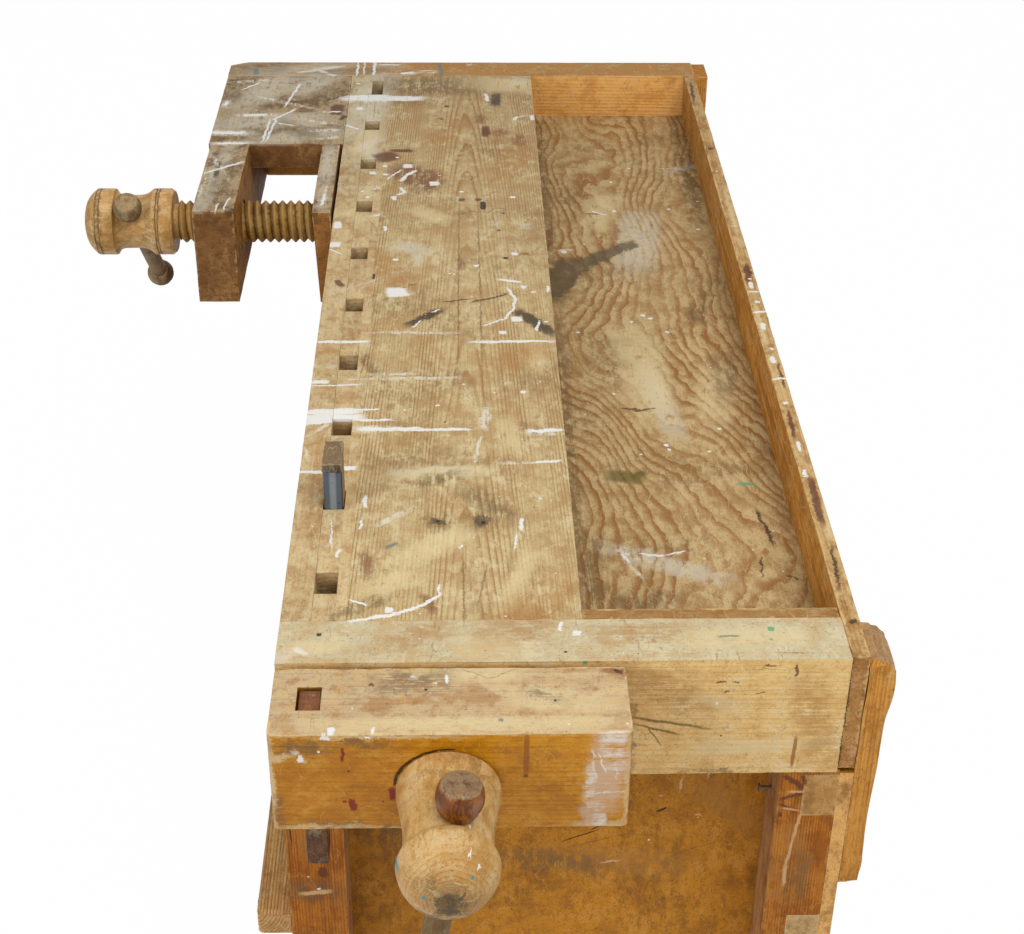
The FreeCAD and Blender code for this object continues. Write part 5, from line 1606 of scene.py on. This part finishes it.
@dataclass
class SlidingHandle:
    """A bar through a hub with a turned knob at each end; lengths are in millimetres."""

    name: str
    screw: ViseScrew
    knob_radius: float
    timber: Timber
    length: float = 348.0
    seat: float = 41.8
    knob: float = 37.0
    socket: float = 27.0

    def build(self) -> None:
        """Turns the bar and its two knobs and dresses them."""
        top = self.seat + self.knob
        start, end = top - self.length + self.knob - self.socket, top - self.knob + self.socket
        r = self.screw.bar_radius
        run = end - start
        outline = ((0, 0), (0, r - 0.8), (1, r), (run / 2, r - 0.4, 0.2), (run - 1, r), (run, r - 0.8),
                   (run, 0))
        bar = self.turn("_bar", outline, start, 1.0, 0.3, 14.0)
        self.dress(bar, "_bar", Timber.HANDLE, 2.0)
        knobs = [self.turn_knob(self.seat, 1.0), self.turn_knob(top - self.length + self.knob, -1.0)]
        dust = (Side(2, 1.0, tone(186, 158, 116), 0.9),)
        self.dress(Shop.joined(knobs), "_knobs", self.timber, 4.0, dust)

    def turn(self, kind: str, outline: Outline, place: float, way: float, dent: float,
             grain: float) -> bpy.types.Object:
        """Turns a piece on the bar's axis.

        Args:
            kind: the end of the name of the node that it stands for.
            outline: its outline.
            place: where it starts along the bar.
            way: 1 where it points up the bar, or -1.
            dent: how deep its dents are.
            grain: how large they are.

        Returns:
            The piece.
        """
        along = self.screw.bar_along
        start = self.screw.bar_middle + along * (place * MM)
        return TurnedPiece(f"{self.name}{kind}_turned", outline, start, along * way, dent, grain).build()

    def turn_knob(self, place: float, way: float) -> bpy.types.Object:
        """Turns one knob.

        Args:
            place: where its inner end is along the bar.
            way: 1 for the upper knob, -1 for the lower one.

        Returns:
            The knob.
        """
        k, s = self.knob_radius, self.screw.bar_radius + 0.1
        outline = ((self.socket, 0), (self.socket, s), (0, s), (0, k - 7), (8, k - 3, 1.2),
                   (30, k - 1.8, 2.4), (33, k - 3.4, 0.5), (36, k - 7, 0.8), (36.6, k - 10), (36.2, k - 13),
                   (37, k - 16), (37, 0))
        return self.turn("_knobs", outline, place, way, 0.9, 11.0)

    def dress(self, piece: bpy.types.Object, kind: str, timber: Timber, seed: float,
              layers: tuple[Layer, ...] = ()) -> None:
        """Gives a turned piece its timber.

        Args:
            piece: the piece.
            kind: the end of the name of the node that it stands for.
            timber: its timber.
            seed: moves the pattern.
            layers: what lies on it.
        """
        Shop.smooth(piece, TURNED_SHARP)
        node = self.name + kind
        material = timber.value.material(node, Box.of(node), Axis.Z, seed, layers)
        Shop.set_down(piece, material, self.name, "handle_wood", (node,))


# ---------------------------------------------------------------- the bench
@dataclass
class Assembly:
    """A part of the bench that is made of boards."""

    number: int
    chewed: Wear = Wear(1.2, 22.0, 9.0, 10.0)
    faint: Wear = Wear(0.6, 22.0, 14.0, 7.0)

    def boards(self) -> list[Board]:
        """Its boards, the first of which has the assembly's own number."""
        raise NotImplementedError

    def build(self) -> None:
        """Builds its boards; a board's number moves the pattern of its timber."""
        for number, board in enumerate(self.boards(), self.number):
            board.build(float(number))


@dataclass
class Top(Assembly):
    """The work surface: slab, strips, dog blocks and end caps, and the board behind the tray."""

    strip_wear: Wear = Wear(1.2, 30.0, 14.0, 8.0)
    rear_wear: Wear = Wear(3.0, 45.0, 12.0, 10.0)

    def boards(self) -> list[Board]:
        """Lists the boards of the top.

        Returns:
            The boards, from the slab outwards.
        """
        slab = (Fade(1, 700, 1700, tone(150, 116, 72), 0.3), TOP)
        strip = (Fade(1, 900, 1500, tone(182, 174, 142), 0.65), TOP)
        # Painted shade: darker downwards inside the dog holes.
        hole = Fade(2, -3, -22, tone(66, 42, 24), 0.85)
        near = (Side(2, 1.0, tone(188, 184, 156), 0.85), TOP, NEAR_SIDE)
        far = (Side(2, 1.0, tone(150, 112, 64), 0.85), Fade(0, 60, -20, tone(160, 142, 114), 0.9), TOP)
        rear = (Side(2, 1.0, tone(204, 180, 130), 0.7), Fade(1, 700, 1700, tone(152, 118, 68), 0.45),
                Side(1, -1.0, tone(212, 164, 104), 0.8), REAR_TOP, NEAR_SIDE)
        beech = partial(Board, timber=Timber.RAIL_BEECH, axis=Axis.Y, slot="rail_beech")
        return [
            Board("top_slab", Timber.TOP_PINE, Axis.Y, "top_pine", 0.5, layers=slab),
            beech("front_strip", ease=0.8, layers=strip, wear=self.strip_wear),
            beech("dog_blocks", ease=0.4, layers=(hole, *strip)),
            beech("dog_back_strip", ease=0.4, layers=(hole, *slab)),
            beech("repair_block", ease=0.5, layers=strip),
            Board("near_end_cap", Timber.CAP_BEECH, Axis.X, "cap_beech", 1.2, layers=near,
                  wear=self.chewed),
            Board("far_end_cap", Timber.FAR_CAP, Axis.X, "far_cap_wood", 1.5, layers=far, wear=self.faint),
            Board("rear_board", Timber.REAR, Axis.Y, "rear_pine", 1.2, layers=rear, wear=self.rear_wear),
        ]


@dataclass
class Tray(Assembly):
    """The sunken tool tray and what carries it."""

    def boards(self) -> list[Board]:
        """Lists the boards of the tray.

        Returns:
            The boards, from the floor down.
        """
        batten = (Side(2, 1.0, tone(150, 122, 80), 0.8),)
        return [
            Board("tray_floor", Timber.TRAY, Axis.Y, "tray_ply", 0.5, layers=(TRAY,)),
            Board("tray_end_batten", Timber.REAR, Axis.X, "rear_pine", 1.0, layers=batten),
            Board("tray_inner_rail", Timber.HIDDEN, Axis.Y, "rail_beech", 1.0),
            Board("tray_ledgers", Timber.HIDDEN, Axis.Y, "rear_pine", 1.0),
        ]


@dataclass
class EndVise(Assembly):
    """The end vise: its varnished jaw with its guides, its screw and its handle."""

    jaw_wear: Wear = Wear(2.2, 18.0, 8.0, 10.0)
    bar_lean: float = 8.0
    knob_radius: float = 23.5

    def boards(self) -> list[Board]:
        """Lists the boards of the vise.

        Returns:
            The boards, from the jaw inwards.
        """
        jaw = (Fade(0, 270, 60, tone(142, 84, 6), 0.4), Side(2, 1.0, tone(202, 186, 150), 0.85), TOP,
               JAW_FACE, JAW_HOLE_SHADE)
        hidden = partial(Board, timber=Timber.HIDDEN, slot="hidden_beech")
        return [
            Board("end_jaw", Timber.JAW, Axis.X, "jaw_varnish", 2.0, "end_jaw", layers=jaw,
                  wear=self.jaw_wear),
            hidden("end_garter_key", axis=Axis.X, ease=0.5, body="end_jaw"),
            hidden("end_guide_bars", axis=Axis.Y, body="end_jaw"),
            hidden("end_guide_blocks", axis=Axis.X),
        ]

    def build(self) -> None:
        """Builds the boards, the screw and its handle."""
        super().build()
        lean = math.radians(self.bar_lean)
        screw = ViseScrew("end_screw", Axis.Y, END_HUB, END_STUB, 69.0, 2.5, 14.0,
                          Vector((math.sin(lean), 0, math.cos(lean))), (NOSE,))
        screw.build()
        SlidingHandle("end_handle", screw, self.knob_radius, Timber.KNOB).build()


@dataclass
class Dogs(Assembly):
    """The two bench dogs, one in the vise's jaw and one in the top."""

    def boards(self) -> list[Board]:
        """Lists the dogs.

        Returns:
            The jaw's dog, then the top's.
        """
        # Painted shade: the jaw dog darker at its foot, below the jaw.
        shaded_foot = (Fade(2, -110, -130, tone(72, 44, 36), 0.9),)
        # Painted shade: the top dog's near faces dark, for the shade under its head.
        face = (Side(1, -1.0, tone(40, 46, 58), 0.9),)
        return [
            Board("jaw_dog", Timber.DOG, Axis.Z, "dog_wood", 1.5, "jaw_dog", layers=shaded_foot),
            Board("top_dog", Timber.GREY_DOG, Axis.Z, "dog_wood", 1.2, "top_dog", layers=face),
        ]


@dataclass
class ShoulderVise(Assembly):
    """The shoulder vise: its arm, board, rail and jaw, its screw and its handle."""

    bar_slant: float = 45.0
    knob_radius: float = 22.0

    def boards(self) -> list[Board]:
        """Lists the boards of the vise.

        Returns:
            The boards, from the arm to the jaw.
        """
        haze = Side(2, 1.0, tone(184, 168, 138), 0.6)
        arm = (haze, Side(1, -1.0, tone(134, 88, 40), 0.85), Side(0, 1.0, tone(174, 118, 40), 0.8), TOP)
        board = (haze, Side(1, -1.0, tone(124, 76, 34), 0.85), TOP)
        jaw = (haze, Side(1, -1.0, tone(170, 106, 34), 0.85), Side(0, -1.0, tone(132, 82, 30), 0.8), TOP)
        rail = (Side(1, -1.0, tone(180, 120, 24), 0.85),)
        brown = partial(Board, timber=Timber.SHOULDER, axis=Axis.Y, slot="shoulder_wood", wear=self.chewed)
        return [
            brown("shoulder_arm", layers=arm),
            brown("shoulder_board", layers=board),
            Board("shoulder_rail", Timber.RAIL, Axis.X, "shoulder_wood", layers=rail),
            brown("shoulder_jaw", body="shoulder_jaw", layers=jaw),
            Board("shoulder_garter_key", Timber.HIDDEN, Axis.Y, "hidden_beech", 0.5, "shoulder_jaw"),
        ]

    def build(self) -> None:
        """Builds the boards, the screw and its handle."""
        super().build()
        slant = math.radians(self.bar_slant)
        screw = ViseScrew("shoulder_screw", Axis.X, SHOULDER_HUB, SHOULDER_STUB, 73.0, 0.0, 13.0,
                          Vector((0, -math.sin(slant), math.cos(slant))),
                          (Side(2, 1.0, tone(230, 190, 132), 0.6), RINGS))
        screw.build()
        SlidingHandle("shoulder_handle", screw, self.knob_radius, Timber.GREY_KNOB).build()


@dataclass
class Base(Assembly):
    """The legs, the rails and panels between them, and the cleats on the rear."""

    ledge_wear: Wear = Wear(1.5, 30.0, 14.0, 9.0)
    cleat_wear: Wear = Wear(3.2, 34.0, 8.0, 12.0)
    cleat_chips: tuple[Chip, ...] = (
        Chip((624, 31, -40), (34, 120, 56), (6, 0, 0)), Chip((624, 31, -3), (18, 120, 16), (-9, 0, -5)),
        Chip((624, 31, -317), (20, 120, 30), (-3, 0, 3)), Chip((600, 0, -3), (30, 60, 14), (0, 4, -3)),
        Chip((624, 31, -220), (30, 120, 90), (-3, 0, 0)))

    def boards(self) -> list[Board]:
        """Lists the boards of the base.

        Returns:
            The legs, then the rails, the panels and the cleats.
        """
        legs = [self.near_leg("front_near_leg", 1.0), self.near_leg("rear_near_leg", -1.0)]
        legs += [Board(side + "_far_leg", Timber.LEG, Axis.Z, "leg_pine", 2.0) for side in ("front", "rear")]
        top_rail = (Side(1, -1.0, tone(224, 168, 96), 0.85), NEAR_SIDE)
        mid_rail = (Side(1, -1.0, tone(226, 196, 140), 0.85), NEAR_SIDE)
        back = (Side(1, -1.0, tone(226, 176, 108), 0.9),)
        cleat_top = (Side(2, 1.0, tone(186, 166, 128), 0.9),)
        rail = partial(Board, timber=Timber.RAIL, axis=Axis.Y, slot="rail_pine")
        panel = partial(Board, timber=Timber.PANEL, axis=Axis.Z, slot="panel_ply")
        cleat = partial(Board, timber=Timber.CLEAT, axis=Axis.Z, slot="weathered_pine", ease=2.5)
        return [
            *legs,
            rail("rear_top_rail", ease=1.0, layers=top_rail),
            rail("rear_mid_rail", ease=1.0, layers=mid_rail),
            *[rail(node + "_rail") for node in ("rear_bottom", "front_top", "front_bottom")],
            Board("front_ledge", Timber.WEATHERED, Axis.Y, "weathered_pine", 2.0, layers=(NEAR_SIDE,),
                  wear=self.ledge_wear),
            panel("near_end_panel", ease=0.5, layers=(NEAR_PANEL,)),
            panel("far_end_panel", ease=0.5),
            *[rail(end + "_bottom_rail", axis=Axis.X) for end in ("near", "far")],
            panel("back_panel", ease=0.8, layers=back),
            panel("bottom_shelf", axis=Axis.Y, ease=0.8),
            cleat("near_rear_cleat", layers=cleat_top, wear=self.cleat_wear, chips=self.cleat_chips),
            cleat("far_rear_cleat"),
        ]

    def near_leg(self, node: str, way: float) -> Board:
        """A near leg, with a painted highlight: paler on the side that faces the other one."""
        # Painted highlight on the inner face.
        inner = Side(0, way, tone(190, 150, 104), 0.85)
        return Board(node, Timber.LEG, Axis.Z, "leg_pine", layers=(inner, NEAR_SIDE), wear=self.faint)


@dataclass
class Fixings:
    """The iron and the dowels, which keep their CAD shapes."""

    black: tuple[str, ...] = ("tie_rod", "tie_rod_nuts", "tie_rod_washers", "near_cap_screws",
                              "far_cap_screws")
    steel: tuple[str, ...] = ("tray_floor_screws", "ledge_screws", "leg_nail", "back_panel_screws",
                              "cleat_screws")
    spring: str = "top_dog_spring"
    dowels: str = "leg_dowels"

    def build(self) -> None:
        """Covers each node with its metal or its timber."""
        # Painted highlight: the spring gets a bright line down its middle.
        highlight_x = Box.of(self.spring).middle.x
        finishes = (
            (Timber.HIDDEN.value.material(self.dowels, Box.of(self.dowels), Axis.Z), (self.dowels,)),
            (Metal.BLACK.value.material("black_iron"), self.black),
            (Metal.SCREW.value.material("screw_steel"), self.steel),
            (Metal.SPRING.value.material("spring_steel", highlight_x), (self.spring,)))
        for material, nodes in finishes:
            for node in nodes:
                Shop.cover(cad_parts[node], material)
                log.info("%s: kept", node)


# ---------------------------------------------------------------- the studio
@dataclass(frozen=True)
class Lamp:
    """A soft square lamp: where it hangs, its side in metres and its power in watts."""

    name: str
    place: Vector
    size: float
    power: float


@dataclass
class Studio:
    """The camera, the floor and the light; lengths are in metres and turns in degrees."""

    stand: Vector = Vector((0.1879, -1.4292, 1.1502))
    yaw: float = 1.888
    pitch: float = 32.768
    roll: float = 0.751
    lens: float = 64.02
    film: float = 36.0
    floor: float = 60.0
    paint: float = 0.8
    floor_white: float = 0.985
    sky_light: float = 0.55
    aim: Vector = Vector((0.0, 0.0, 0.7))
    lamps: tuple[Lamp, ...] = (Lamp("key", Vector((1.2, -1.6, 4.2)), 2.4, 84.0),
                               Lamp("fill", Vector((-2.6, -2.6, 2.2)), 2.0, 44.0))

    def build(self) -> None:
        """Sets up the camera, the floor, the sky and the lamps."""
        bpy.context.scene.view_settings.view_transform = "Standard"
        self.set_camera()
        self.lay_floor()
        self.light_sky()
        for lamp in self.lamps:
            self.hang(lamp)
        log.info("studio: %d lamps", len(self.lamps))

    def set_camera(self) -> None:
        """Sets the camera, which stands off the front near corner of the work surface."""
        data = bpy.data.cameras.new("camera")
        data.lens, data.sensor_width = self.lens, self.film
        camera = bpy.data.objects.new("camera", data)
        bpy.context.scene.collection.objects.link(camera)
        turn = (Matrix.Rotation(-math.radians(self.yaw), 4, "Z") @
                Matrix.Rotation(math.radians(90 - self.pitch), 4, "X") @
                Matrix.Rotation(math.radians(self.roll), 4, "Z"))
        camera.matrix_world = Matrix.Translation(ORIGIN + self.stand) @ turn
        bpy.context.scene.camera = camera

    def hang(self, lamp: Lamp) -> None:
        """Hangs a lamp that faces the bench.

        Args:
            lamp: the lamp.
        """
        data = bpy.data.lights.new(lamp.name, "AREA")
        data.size, data.energy = lamp.size, lamp.power
        hung = bpy.data.objects.new(lamp.name, data)
        bpy.context.scene.collection.objects.link(hung)
        turn = (self.aim - lamp.place).to_track_quat("-Z", "Y").to_matrix().to_4x4()
        hung.matrix_world = Matrix.Translation(lamp.place) @ turn

    def lay_floor(self) -> None:
        """Lays a floor that looks nearly white and still takes shadows."""
        bpy.ops.mesh.primitive_plane_add(size=self.floor, location=(0, 0, 0))
        floor = bpy.context.object
        floor.name = "floor"
        g = Graph("floor")
        paint = g.node("ShaderNodeBsdfDiffuse", {}, {"Color": (self.paint, self.paint, self.paint)})
        g.node("ShaderNodeOutputMaterial", {}, {0: g.whitened(self.floor_white, paint)}, None)
        floor.data.materials.append(g.material)

    def light_sky(self) -> None:
        """Makes a sky that is white to the camera and dimmer as light."""
        world = bpy.data.worlds.new("sky")
        world.use_nodes = True
        tree = world.node_tree
        dim = tree.nodes["Background"]
        plain, path, mixed = (tree.nodes.new(kind) for kind in
                              ("ShaderNodeBackground", "ShaderNodeLightPath", "ShaderNodeMixShader"))
        for sky, strength in ((dim, self.sky_light), (plain, 1.0)):
            sky.inputs["Color"].default_value = (1.0, 1.0, 1.0, 1.0)
            sky.inputs["Strength"].default_value = strength
        tree.links.new(path.outputs["Is Camera Ray"], mixed.inputs[0])
        tree.links.new(dim.outputs[0], mixed.inputs[1])
        tree.links.new(plain.outputs[0], mixed.inputs[2])
        tree.links.new(mixed.outputs[0], tree.nodes["World Output"].inputs["Surface"])
        bpy.context.scene.world = world


def main() -> None:
    """Builds the studio and the bench."""
    logging.basicConfig(level=logging.INFO, format="%(name)s: %(message)s")
    for part in (Studio(), Top(1), Tray(9), EndVise(13), Dogs(17), ShoulderVise(19), Base(24), Fixings()):
        part.build()


if __name__ == "__main__":
    main()
